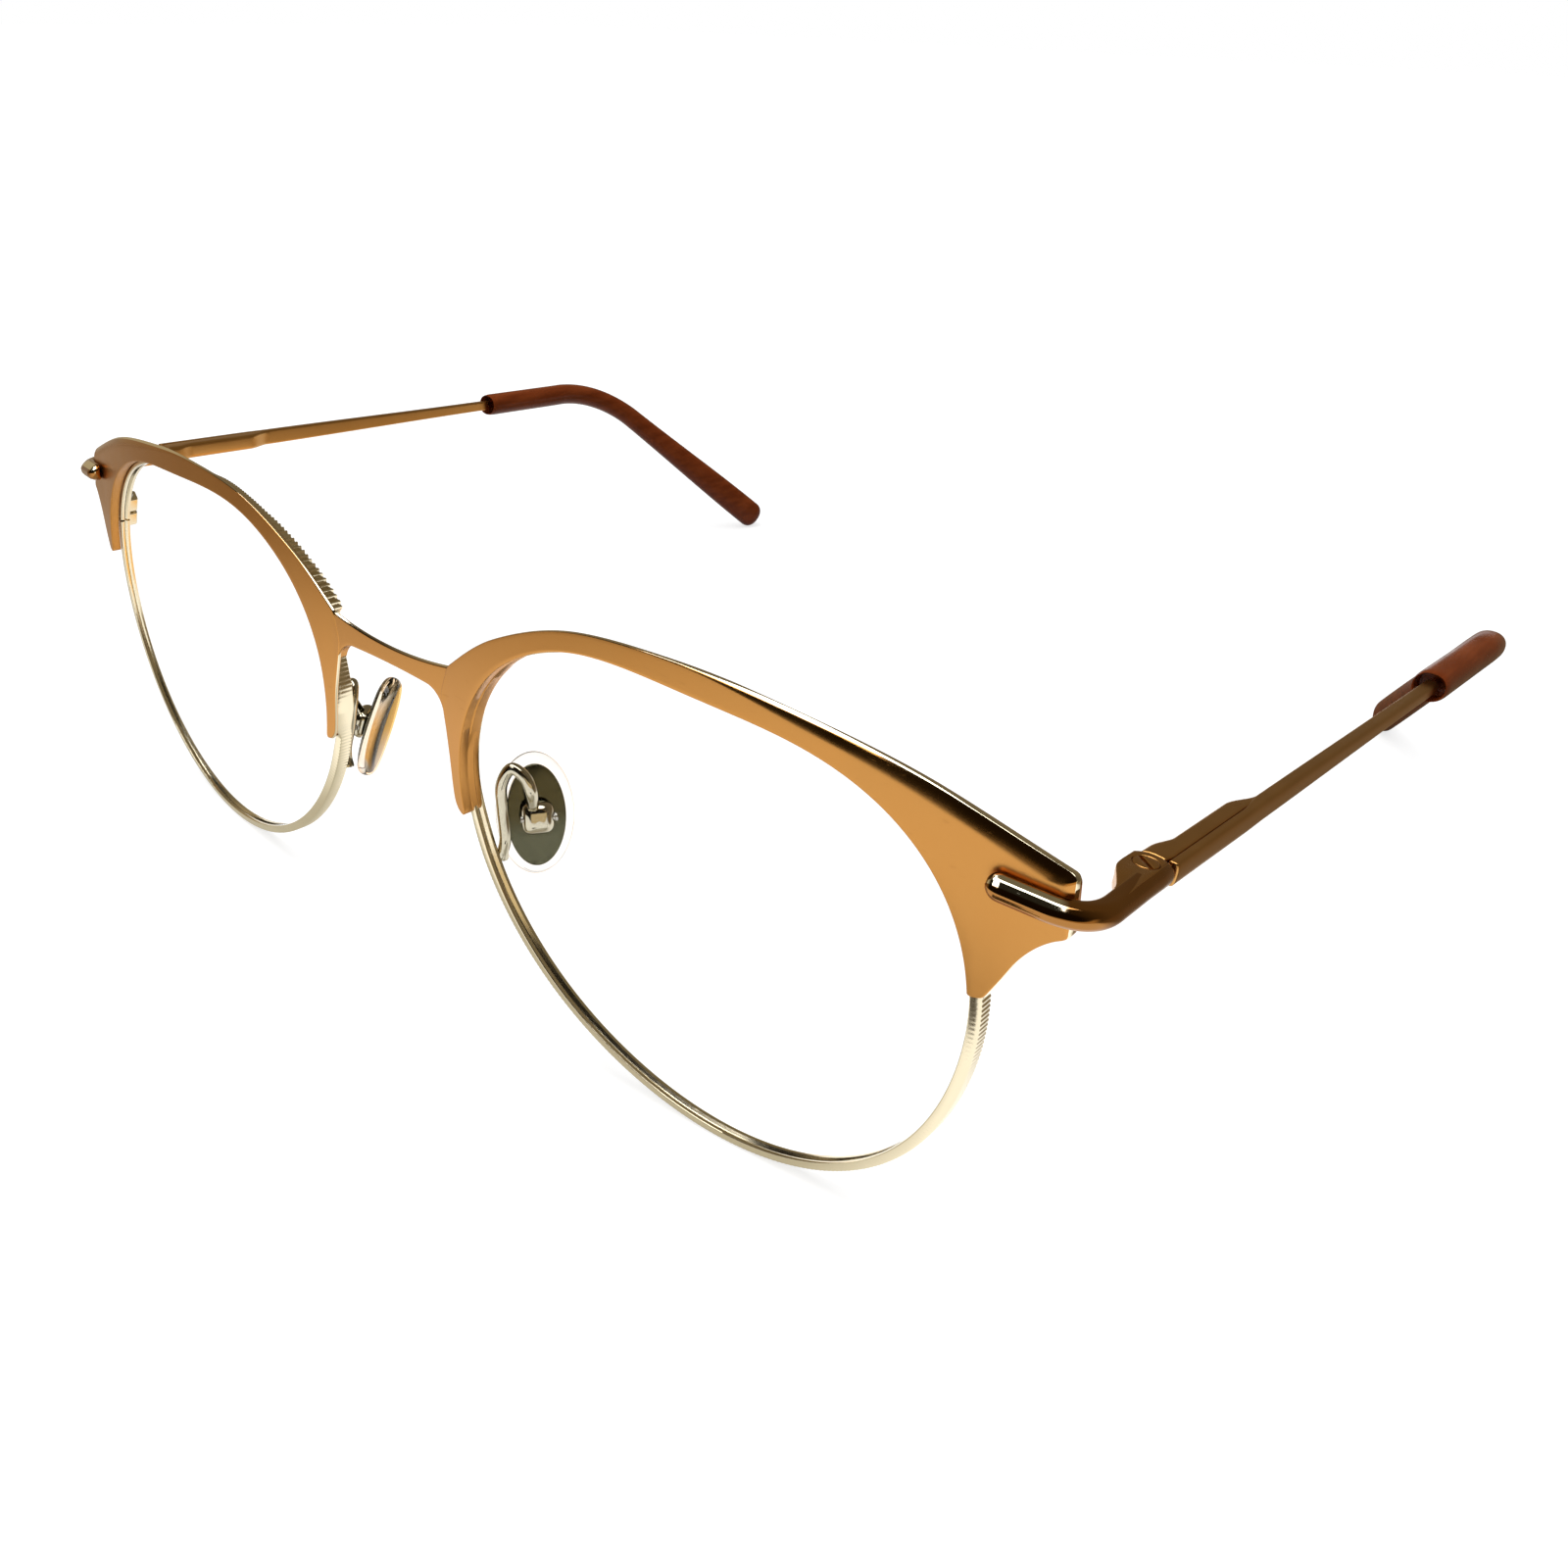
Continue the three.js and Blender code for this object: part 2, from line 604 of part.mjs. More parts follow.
// Centre line of the endpiece: along the wing, round its end and back to the knuckles.
function endpieceStations() {
  const front = -SHEET / 2 - SHEET_GAP - BAR_DEPTH / 2;
  const onWing = (x, z) => onFront(new THREE.Vector2(x, z), front);
  const start = onWing(wingX - BAR_LENGTH, HINGE_HEIGHT + BAR_RISE);
  const sideways = onWing(wingX, HINGE_HEIGHT).sub(start).normalize();
  const back = new THREE.Vector3(Math.sin(SPLAY), Math.cos(SPLAY), 0);
  const knuckle = inHinge(BAR_WIDTH / 2, -knuckleBack - SEAT);
  const apart = knuckle.clone().sub(start);
  const reach = (apart.x * back.y - apart.y * back.x) / (sideways.x * back.y - sideways.y * back.x);
  const corner = start.clone().addScaledVector(sideways, reach);
  const enter = corner.clone().addScaledVector(sideways, -BAR_TURN);
  const leave = corner.clone().addScaledVector(back, BAR_TURN);
  const bend = new THREE.QuadraticBezierCurve3(enter, corner, leave);
  const turnSteps = 8;
  const stations = BAR_NOSE.map(([share, round]) => ({
    at: start.clone().lerp(enter, share),
    ahead: sideways,
    round,
    turned: 0,
  }));
  for (let i = 0; i <= turnSteps; i++) {
    const turned = i / turnSteps;
    stations.push({ at: bend.getPoint(turned), ahead: bend.getTangent(turned), round: 1, turned });
  }
  stations.push({ at: knuckle, ahead: back, round: 1, turned: 1 });
  return stations;
}

// Bar with round corners, and a thinner cover beside the knuckles that ends at the hinge's split.
function endpiece() {
  const rings = endpieceStations().map(({ at, ahead, round, turned }) => {
    const out = new THREE.Vector3(ahead.y, -ahead.x, 0).normalize();
    const width = THREE.MathUtils.lerp(BAR_DEPTH, BAR_WIDTH, turned);
    return BAR_SECTION.map(([x, z]) => {
      const point = at.clone().addScaledVector(out, (x * width * round) / 2);
      return point.setZ(at.z + z * barHalf * round);
    });
  });
  const front = -knuckleBack - 3 * SEAT;
  const cover = plate(
    [
      new THREE.Vector2(KNUCKLE_RADIUS, front),
      new THREE.Vector2(BAR_WIDTH - SEAT / 2, front),
      new THREE.Vector2(BAR_WIDTH - SEAT / 2, SPLIT_PLACE - SPLIT_CHAMFER),
      new THREE.Vector2(BAR_WIDTH - SPLIT_CHAMFER, SPLIT_PLACE),
      new THREE.Vector2(KNUCKLE_RADIUS, SPLIT_PLACE),
    ],
    -barHalf + SEAT / 4,
    barHalf - SEAT / 4,
  );
  cover.rotateZ(-SPLAY).translate(hinge.x, hinge.y, hinge.z);
  return join(loft(rings), cover);
}

// Two ears round the hinge screw, joined by a web at the front.
function hingeFork() {
  const ears = new THREE.Shape();
  ears.moveTo(KNUCKLE_RADIUS - SEAT / 2, -knuckleBack);
  ears.absarc(0, 0, KNUCKLE_RADIUS - SEAT / 2, 0, Math.PI);
  ears.lineTo(-KNUCKLE_RADIUS + SEAT / 2, -knuckleBack);
  ears.closePath();
  const slotHalf = TONGUE_HEIGHT / 2 + RUNNING;
  const wide = 2 * KNUCKLE_RADIUS;
  const slot = box([-wide, wide], [-knuckleBack + KNUCKLE_WEB, wide], [-slotHalf, slotHalf]);
  const hole = bar("z", HINGE_SCREW.radius + RUNNING, -BAR_HEIGHT, BAR_HEIGHT);
  const sink = bar("z", HINGE_SCREW.headRadius + RUNNING, barHalf - HINGE_SCREW.headHeight, BAR_HEIGHT);
  return cut(plate(ears, -barHalf, barHalf), slot, hole, sink);
}

const hingeScrew = () => slottedScrew(HINGE_SCREW, -barHalf, barHalf - HINGE_SCREW.headHeight + RUNNING);

const templeFront = SPLIT_PLACE + SPLIT_GAP;
const stopFront = templeFront + STOP_INSET;
const rodFoot = templeFront + STOP_INSET / 2;
const rodEnd = rodFoot + ROD_LENGTH;

// Eye on the hinge screw, with a neck and a headed rod that runs into the spring housing.
function hingeTongue() {
  const half = TONGUE_HEIGHT / 2;
  const eye = bar("z", KNUCKLE_RADIUS - SEAT, -half, half);
  const neck = box([-TONGUE_WIDTH / 2, TONGUE_WIDTH / 2], [0, rodFoot], [-half, half]);
  const rod = bar("y", ROD_RADIUS, rodFoot - SEAT, rodEnd);
  const head = bar("y", ROD_HEAD.radius, rodEnd - ROD_HEAD.length, rodEnd);
  const hole = bar("z", HINGE_SCREW.radius + RUNNING, -half - 1, half + 1);
  return cut(join(eye, neck, rod, head), hole);
}

// Block on the inside of the arm, bored for the spring, with a slanted rear end.
function springHousing() {
  const inner = -BORE_RADIUS - HOUSING_WALL;
  const outer = BAR_WIDTH - ARM_THICKNESS - SEAT;
  const end = templeFront + HOUSING_LENGTH;
  const block = plate(
    [
      new THREE.Vector2(inner, templeFront),
      new THREE.Vector2(outer, templeFront),
      new THREE.Vector2(outer, end),
      new THREE.Vector2(0, end),
      new THREE.Vector2(inner, end - HOUSING_SLOPE),
    ],
    -HOUSING_HEIGHT / 2,
    HOUSING_HEIGHT / 2,
  );
  return cut(block, bar("y", BORE_RADIUS, templeFront - 1, rodEnd + 2 * ROD_HEAD.length));
}

// Bush in the mouth of the bore.
function springStop() {
  const bush = bar("y", BORE_RADIUS - RUNNING, stopFront, stopFront + STOP_LENGTH);
  return cut(bush, bar("y", ROD_RADIUS + RUNNING, stopFront - 1, stopFront + STOP_LENGTH + 1));
}

// Open coil round the rod, between the stop and the rod's head.
function hingeSpring() {
  const wire = SPRING_WIRE / 2;
  const start = stopFront + STOP_LENGTH + SPRING_END_GAP + wire;
  const end = rodEnd - ROD_HEAD.length - SPRING_END_GAP - wire;
  const radius = (ROD_RADIUS + BORE_RADIUS) / 2;
  const sides = 5;
  const turnSteps = 8;
  const steps = turnSteps * SPRING_TURNS;
  const axis = new THREE.Vector3(0, 1, 0);
  const middles = [];
  const rings = [];
  for (let i = 0; i <= steps; i++) {
    const turn = (2 * Math.PI * i) / turnSteps;
    const out = new THREE.Vector3(Math.cos(turn), 0, Math.sin(turn));
    const middle = out.clone().multiplyScalar(radius).setY(start + ((end - start) * i) / steps);
    const ring = Array.from({ length: sides }, (_, j) => {
      const round = (2 * Math.PI * j) / sides;
      const point = middle.clone().addScaledVector(out, wire * Math.cos(round));
      return point.addScaledVector(axis, wire * Math.sin(round));
    });
    middles.push(middle);
    rings.push(ring);
  }
  const others = (i) => middles.slice(i + turnSteps / 2);
  const apart = middles.flatMap((here, i) => others(i).map((there) => there.distanceTo(here)));
  console.log(`hinge spring: least gap to itself ${(Math.min(...apart) - SPRING_WIRE).toFixed(2)} mm`);
  return loft(rings);
}

// Temple arm and tip

const armMiddle = BAR_WIDTH - ARM_THICKNESS / 2;
const tipStart = templeFront + ARM_LENGTH;
const bendLength = TIP_BEND_RADIUS * TIP_BEND;
const tipLength = TIP_STRAIGHT + bendLength + TIP_TAIL;

// Places along the tip's centre line, a straight, a bend down and inwards, and a straight tail.
function tipStations(length, count) {
  const stations = [];
  const at = new THREE.Vector3(armMiddle, tipStart, 0);
  const step = length / count;
  for (let i = 0; i <= count; i++) {
    const bent = THREE.MathUtils.clamp((i * step - TIP_STRAIGHT) / bendLength, 0, 1);
    const [down, inward] = [TIP_BEND * bent, TIP_INWARD * bent];
    const ahead = new THREE.Vector3(
      -Math.sin(inward) * Math.cos(down),
      Math.cos(inward) * Math.cos(down),
      -Math.sin(down),
    );
    const out = new THREE.Vector3(ahead.y, -ahead.x, 0).normalize();
    stations.push({ at: at.clone(), ahead, out, up: out.clone().cross(ahead), share: i / count });
    at.addScaledVector(ahead, step);
  }
  return stations;
}

// An oval ring of points round a station.
function ovalRing({ at, out, up }, thickness, height, count = 10) {
  return Array.from({ length: count }, (_, i) => {
    const round = (2 * Math.PI * (i + 0.5)) / count;
    const point = at.clone().addScaledVector(out, (thickness / 2) * Math.cos(round));
    return point.addScaledVector(up, (height / 2) * Math.sin(round));
  });
}

const wireLength = tipLength - TIP_SOLID_END;

function coreWire(thickness, height, length, lead) {
  const stations = tipStations(length, 20);
  const rings = stations.map((station) => ovalRing(station, thickness, height));
  const first = { ...stations[0], at: stations[0].at.clone().setY(tipStart - lead) };
  return loft([ovalRing(first, thickness, height), ...rings]);
}

// Flat arm with a rounded outer side, one piece with the core wire inside the tip.
function templeArm() {
  const outer = [
    [templeFront, ARM_HEIGHT, SPLIT_CHAMFER],
    [templeFront + SPLIT_CHAMFER, ARM_HEIGHT, 0],
    [templeFront + HOUSING_LENGTH, ARM_HEIGHT, 0],
    [tipStart - SEAT, ARM_TIP_HEIGHT, 0],
  ];
  const section = [
    [-1, -1],
    [0.3, -1],
    [0.85, -0.8],
    [1, -0.3],
    [1, 0.3],
    [0.85, 0.8],
    [0.3, 1],
    [-1, 1],
  ];
  const rings = outer.map(([y, height, chamfer]) =>
    section.map(([x, z]) => {
      const from = armMiddle - ARM_THICKNESS / 2;
      const across = ((x + 1) / 2) * (ARM_THICKNESS - chamfer);
      return new THREE.Vector3(from + across, y, (z * height) / 2);
    }),
  );
  return join(loft(rings), coreWire(WIRE_THICKNESS, WIRE_HEIGHT, wireLength, 2 * SEAT));
}

// Sleeve over the core wire, swelling towards a rounded end.
function templeTip() {
  const count = 26;
  const stations = tipStations(tipLength, count);
  const size = ({ share }) => {
    const swell = THREE.MathUtils.smoothstep(share, TIP_SWELL, 1);
    return [
      THREE.MathUtils.lerp(TIP_THICKNESS, TIP_END_THICKNESS, swell),
      THREE.MathUtils.lerp(TIP_HEIGHT, TIP_END_HEIGHT, swell),
    ];
  };
  const rings = stations.map((station) => ovalRing(station, ...size(station)));
  const last = stations.at(-1);
  const cap = TIP_ROUNDING.map(([beyond, share]) => {
    const at = last.at.clone().addScaledVector(last.ahead, beyond);
    return ovalRing({ ...last, at }, ...size(last).map((full) => full * share));
  });
  const sleeve = loft([...rings, ...cap]);
  const clear = 2 * SEAT;
  return cut(sleeve, coreWire(WIRE_THICKNESS + clear, WIRE_HEIGHT + clear, wireLength + clear, 1));
}

// Assembly: the same pieces on each side, the right one mirrored

function addPiece(group, name, geometry, finish) {
  const mesh = new THREE.Mesh(geometry, finishes[finish]());
  mesh.name = name;
  group.add(mesh);
}

const lockHalf = LOCK_SPLIT / 2;
const framePieces = {
  rim: [rim(), "silver"],
  lens: [lens(), "lens"],
  rim_lock_upper_block: [lockBlock(lockHalf, lockHalf + LOCK_BLOCK.tall), "silver"],
  rim_lock_lower_block: [lockBlock(-lockHalf - LOCK_BLOCK.tall, -lockHalf), "silver"],
  rim_lock_screw: [lockScrew(), "steel"],
  pad_arm: [padArm(), "silver"],
  endpiece: [endpiece(), "polishedGold"],
};
const padPieces = {
  pad_box: [padBox(), "silver"],
  pad_screw: [padScrew(), "steel"],
  pad_core: [padCore(), "silver"],
  nose_pad: [nosePad(), "silicone"],
};
const hingePieces = {
  hinge_fork: [hingeFork(), "polishedGold"],
  hinge_screw: [hingeScrew(), "polishedGold"],
  hinge_tongue: [hingeTongue(), "steel"],
  spring_stop: [springStop(), "steel"],
  hinge_spring: [hingeSpring(), "steel"],
  spring_housing: [springHousing(), "satinGold"],
  temple_arm: [templeArm(), "satinGold"],
  temple_tip: [templeTip(), "acetate"],
};

const worn = new THREE.Group();
addPiece(worn, "brow_front", browFront(), "satinGold");
for (const [side, sign] of [
  ["left", 1],
  ["right", -1],
]) {
  const half = new THREE.Group();
  half.scale.x = sign;
  const pad = new THREE.Group();
  pad.applyMatrix4(padFrame());
  const temple = new THREE.Group();
  temple.position.copy(hinge);
  temple.rotation.set(-DROOP, 0, -SPLAY, "ZXY");
  half.add(pad, temple);
  worn.add(half);
  const sets = [
    [half, framePieces],
    [pad, padPieces],
    [temple, hingePieces],
  ];
  for (const [group, pieces] of sets) {
    for (const [name, [geometry, finish]] of Object.entries(pieces)) {
      addPiece(group, `${side}_${name}`, geometry, finish);
    }
  }
}

// Laying the frame down: it leans back until the rims and the tips stand at one height

function worldPoints(group, ending) {
  const points = [];
  group.updateMatrixWorld(true);
  group.traverse((mesh) => {
    if (!mesh.isMesh || !mesh.name.endsWith(ending)) return;
    const p = mesh.geometry.attributes.position;
    for (let i = 0; i < p.count; i++) {
      points.push(new THREE.Vector3().fromBufferAttribute(p, i).applyMatrix4(mesh.matrixWorld));
    }
  });
  return points;
}

function restLean(rims, tips) {
  const lowest = (points, lean) =>
    Math.min(...points.map((p) => p.z * Math.cos(lean) - p.y * Math.sin(lean)));
  let [flat, steep] = [-0.3, 0.3];
  for (let i = 0; i < 60; i++) {
    const lean = (flat + steep) / 2;
    if (lowest(tips, lean) > lowest(rims, lean)) flat = lean;
    else steep = lean;
  }
  return flat;
}

worn.rotation.x = -restLean(worldPoints(worn, "_rim"), worldPoints(worn, "_temple_tip"));
const glasses = new THREE.Group();
glasses.add(worn);
const extent = new THREE.Box3().setFromObject(glasses, true);
worn.position.y = -(extent.min.y + extent.max.y) / 2;
worn.position.z = -extent.min.z;

export default glasses;
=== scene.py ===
"""Looks of the round browline eyeglasses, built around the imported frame.

Shapes are worked out in millimetres as worn: +X is the wearer's left, +Y runs back along the
temples, +Z is up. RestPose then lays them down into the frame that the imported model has, in metres.
"""

from __future__ import annotations

import logging
import math
from dataclasses import dataclass
from enum import Enum

import bpy
import numpy as np
from mathutils import Matrix


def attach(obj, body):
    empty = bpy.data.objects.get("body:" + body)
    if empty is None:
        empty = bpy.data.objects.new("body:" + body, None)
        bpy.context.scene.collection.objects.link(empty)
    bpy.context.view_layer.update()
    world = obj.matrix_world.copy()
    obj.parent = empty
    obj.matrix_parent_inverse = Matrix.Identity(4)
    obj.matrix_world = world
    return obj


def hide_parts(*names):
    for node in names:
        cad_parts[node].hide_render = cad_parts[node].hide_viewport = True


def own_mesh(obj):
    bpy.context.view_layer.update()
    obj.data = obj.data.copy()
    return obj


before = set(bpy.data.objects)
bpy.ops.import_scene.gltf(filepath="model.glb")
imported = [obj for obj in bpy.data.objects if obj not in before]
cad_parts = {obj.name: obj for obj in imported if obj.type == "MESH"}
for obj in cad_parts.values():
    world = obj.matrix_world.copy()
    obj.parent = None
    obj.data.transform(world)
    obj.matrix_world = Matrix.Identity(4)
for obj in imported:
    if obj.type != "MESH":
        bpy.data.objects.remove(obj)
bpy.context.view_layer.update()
LOG = logging.getLogger("eyeglasses")
Array = np.ndarray
Triple = tuple[float, float, float]
Colour = Triple
Span = tuple[float, float]
Run = tuple[float, float, float, float]
Points = tuple[tuple[float, ...], ...]
Tree = bpy.types.NodeTree
Socket = bpy.types.NodeSocket
WHITE: Colour = (1.0, 1.0, 1.0)
MILLIMETRE = 1e-3
SHARP_EDGE = math.radians(38)


class Side(Enum):
    """The wearer's two sides; the value is the sign of X."""

    LEFT = 1
    RIGHT = -1

    def named(self, word: str) -> str:
        """A piece's name on this side."""
        return f"{self.name.lower()}_{word}"


# Curves and sections


def unit(vectors: Array) -> Array:
    """Vectors scaled to length one along the last axis."""
    return vectors / np.linalg.norm(vectors, axis=-1, keepdims=True)


def points_of(*axes: Array) -> Array:
    """Points from their coordinates, set side by side on a new last axis."""
    return np.stack(axes, axis=-1)


def around(turn: Array) -> Array:
    """Unit vectors (n, 2) at angles in radians."""
    return points_of(np.cos(turn), np.sin(turn))


def ease(x: Array, low: float, high: float) -> Array:
    """Smooth step: 0 below low, 1 above high, 3t^2 - 2t^3 between."""
    t = np.clip((x - low) / (high - low), 0, 1)
    return t * t * (3 - 2 * t)


def stretch(x: Array, run: Run) -> Array:
    """Share from 0 to 1 that rises over the run's first two places and falls over its last two."""
    enter, full, leave, gone = run
    return ease(x, enter, full) * (1 - ease(x, leave, gone))


def both_ends(count: int) -> Array:
    """Places from 0 to 1 that crowd at both ends: (1 - cos(pi u)) / 2."""
    return 0.5 - 0.5 * np.cos(np.linspace(0, np.pi, count))


def hermite(b: Array, c: Array, m: Array, n: Array, w: Array) -> Array:
    """Cubic from b to c with the end tangents m and n, at the shares w of the way."""
    return (2 * b - 2 * c + m + n) * w**3 + (3 * c - 3 * b - 2 * m - n) * w**2 + m * w + b


def even_spline(points: Array, places: Array) -> Array:
    """Uniform Catmull-Rom curve through points.

    Args:
        points: control points (n, d).
        places: parameters from 0 to 1.

    Returns:
        Points (len(places), d). On a stretch from b to c with neighbours a and d, the end
        tangents are (c - a) / 2 and (d - b) / 2.
    """
    last = len(points) - 1
    spot = np.clip(places, 0, 1) * last
    i = np.minimum(spot.astype(int), last - 1)
    w = (spot - i)[:, None]
    a, b, c, d = (points[np.clip(i + k, 0, last)] for k in (-1, 0, 1, 2))
    return hermite(b, c, (c - a) / 2, (d - b) / 2, w)


def wire_spline(points: Array, count: int) -> Array:
    """Centripetal Catmull-Rom curve through points, which doesn't overshoot in tight bends.

    Args:
        points: control points (n, 3).
        count: how many points to return.

    Returns:
        Points (count, 3). Knots are spaced by the square root of the distance, and the curve
        is carried on past both ends by mirroring.
    """
    full = np.vstack([2 * points[0] - points[1], points, 2 * points[-1] - points[-2]])
    gap = np.linalg.norm(np.diff(full, axis=0), axis=1) ** 0.5
    spot = np.linspace(0, len(points) - 1, count)
    i = np.minimum(spot.astype(int), len(points) - 2)
    w = (spot - i)[:, None]
    a, b, c, d = (full[i + k] for k in range(4))
    e, f, g = (gap[i + k][:, None] for k in range(3))
    m = f * ((b - a) / e - (c - a) / (e + f) + (c - b) / f)
    n = f * ((c - b) / f - (d - b) / (f + g) + (d - c) / g)
    return hermite(b, c, m, n, w)


def headings(path: Array) -> Array:
    """Unit tangents of a path, from central differences."""
    return unit(np.gradient(path, axis=0))


def level_across(ahead: Array) -> Array:
    """Level unit vectors (n, 3) to the right of headings (n, 3)."""
    return unit(points_of(ahead[:, 1], -ahead[:, 0], 0 * ahead[:, 0]))


def distances(path: Array) -> Array:
    """Distance along a path to each of its points, from 0."""
    step = np.linalg.norm(np.diff(path, axis=0), axis=1)
    return np.concatenate([[0], np.cumsum(step)])


def soften(path: Array, reach: float) -> Array:
    """Rounds the corners of a path, ends kept, with a Gaussian over the distance along it.

    Args:
        path: points (n, d); the first two columns are the place.
        reach: standard deviation of the Gaussian, in the path's units.

    Returns:
        The smoothed points (n, d).
    """
    along = distances(path[:, :2])
    share = np.gradient(along)
    apart = along[:, None] - along[None, :]
    room = np.minimum(reach, np.minimum(along, along[-1] - along) / 3 + 1e-4)
    weight = np.exp(-0.5 * (apart / room[:, None]) ** 2) * share[None, :]
    return weight @ path / weight.sum(axis=1, keepdims=True)


def arc(count: int) -> tuple[Array, Array]:
    """Sine and cosine of a quarter turn in equal steps."""
    turn = np.linspace(0, np.pi / 2, count)
    return np.sin(turn), np.cos(turn)


def bulged(count: int, front: float = 2.0, back: float = 2.0) -> Array:
    """Superellipse of half sizes one: |x|^p + |z|^p = 1, with its own p on each side of x = 0.

    Args:
        count: points round the section.
        front: p where x is positive.
        back: p where x is negative.

    Returns:
        Points (count, 2), anticlockwise.
    """
    turn = np.linspace(0, 2 * np.pi, count, endpoint=False)
    c, s = np.cos(turn), np.sin(turn)
    power = 2 / np.where(c >= 0, front, back)
    return points_of(np.sign(c) * np.abs(c) ** power, np.sign(s) * np.abs(s) ** power)


def round_oblong(half_x: float, half_y: float, radius: float, steps: int = 6) -> Array:
    """Rectangle outline with round corners, anticlockwise: a quarter circle at each corner."""
    s, c = arc(steps)
    corner = points_of(c, s) * radius
    turns = [(1, 1, corner), (-1, 1, corner[::-1]), (-1, -1, corner), (1, -1, corner[::-1])]
    parts = [
        np.array([sx * (half_x - radius), sy * (half_y - radius)]) + quarter * [sx, sy]
        for sx, sy, quarter in turns
    ]
    return np.vstack(parts)


def half_moon(radius: float, inset: float, count: int = 20) -> Array:
    """Outline of the part of a disc that lies above y = inset, anticlockwise."""
    low = math.asin(inset / radius)
    turn = np.linspace(low, np.pi - low, count)
    return around(turn) * radius


# Shells


@dataclass
class Shell:
    """A closed skin: points in millimetres, faces by index, and how polished each point is."""

    points: Array
    quads: Array
    triangles: Array
    polish: Array

    def moved(self, points: Array) -> Shell:
        """The same skin on other points, faces outwards."""
        return facing_out(Shell(points, self.quads, self.triangles, self.polish))

    def shifted(self, by: list[float]) -> Shell:
        """The same skin, shifted."""
        return self.moved(self.points + by)


def facing_out(shell: Shell) -> Shell:
    """Turns every face round if the enclosed volume, the sum of a.(b x c) / 6, is negative."""
    a, b, c, d = (shell.points[shell.quads[:, k]] for k in range(4))
    volume = np.sum(a * np.cross(b, c)) + np.sum(a * np.cross(c, d))
    if len(shell.triangles):
        e, f, g = (shell.points[shell.triangles[:, k]] for k in range(3))
        volume += np.sum(e * np.cross(f, g))
    if volume >= 0:
        return shell
    return Shell(shell.points, shell.quads[:, ::-1], shell.triangles[:, ::-1], shell.polish)


def grid_quads(here: Array, there: Array) -> Array:
    """Faces (k, 4) between rings of points and the next rings, both as indices (n, m)."""
    corners = [here, np.roll(here, -1, axis=1), np.roll(there, -1, axis=1), there]
    return points_of(*corners).reshape(-1, 4)


def skin(rings: Array, looped: bool = False, polish: Array | float = 0.0) -> Shell:
    """Closed skin over a grid of points.

    Args:
        rings: points (n, m, 3): n rings of m points, each ring closed on itself.
        looped: whether the last ring joins the first; if not, both ends get a fan of
            triangles about the ring's middle.
        polish: value for every point (n, m), or one number.

    Returns:
        The skin, faces outwards.
    """
    n, m = rings.shape[:2]
    index = np.arange(n * m).reshape(n, m)
    here = index if looped else index[:-1]
    there = np.roll(index, -1, axis=0) if looped else index[1:]
    quads = grid_quads(here, there)
    points = rings.reshape(-1, 3)
    value = np.broadcast_to(polish, (n, m)).reshape(-1).astype(float)
    triangles = np.zeros((0, 3), int)
    if not looped:
        points = np.vstack([points, rings[0].mean(axis=0), rings[-1].mean(axis=0)])
        value = np.concatenate([value, [value[:m].mean(), value[-m:].mean()]])
        first, last = index[0], index[-1]
        near = points_of(np.roll(first, -1), first, np.full(m, n * m))
        far = points_of(last, np.roll(last, -1), np.full(m, n * m + 1))
        triangles = np.vstack([near, far])
    return facing_out(Shell(points, quads, triangles, value))


def carried(path: Array, across: Array, up: Array, section: Array) -> Array:
    """Rings of a section carried along a path: path + x * across + y * up.

    Args:
        path: points (n, 3).
        across: direction of the section's x at each point (n, 3).
        up: direction of the section's y at each point (n, 3).
        section: points (m, 2), or (n, m, 2) where it changes along the path.

    Returns:
        Rings (n, m, 3).
    """
    section = np.broadcast_to(section, (len(path), *section.shape[-2:]))
    side = section[..., :1] * across[:, None, :]
    return path[:, None, :] + side + section[..., 1:] * up[:, None, :]


def straight(path: Array, section: Array) -> Array:
    """Rings of a section carried along a path without turning: its x is X and its y is Z."""
    across, up = (np.broadcast_to(way, path.shape) for way in ([1.0, 0, 0], [0, 0, 1.0]))
    return carried(path, across, up, section)


def prism(outline: Array, low: float, high: float, bevel: float, steps: int = 4) -> Shell:
    """Outline pulled up along z, with a quarter-round bevel on both faces.

    Args:
        outline: points (m, 2), anticlockwise.
        low: height of the lower face.
        high: height of the upper face.
        bevel: radius of the bevel.
        steps: points across each bevel.

    Returns:
        The skin. At an angle t of the bevel the outline lies in by bevel * (1 - sin t).
    """
    tangent = unit(np.roll(outline, -1, axis=0) - np.roll(outline, 1, axis=0))
    inward = points_of(-tangent[:, 1], tangent[:, 0])
    s, c = arc(steps)
    inset = np.concatenate([bevel * (1 - s), bevel * (1 - s)[::-1]])
    height = np.concatenate([low + bevel * (1 - c), high - bevel * (1 - c)[::-1]])
    flat = outline[None] + inward[None] * inset[:, None, None]
    level = np.broadcast_to(height[:, None, None], (*flat.shape[:2], 1))
    return skin(np.concatenate([flat, level], axis=2))


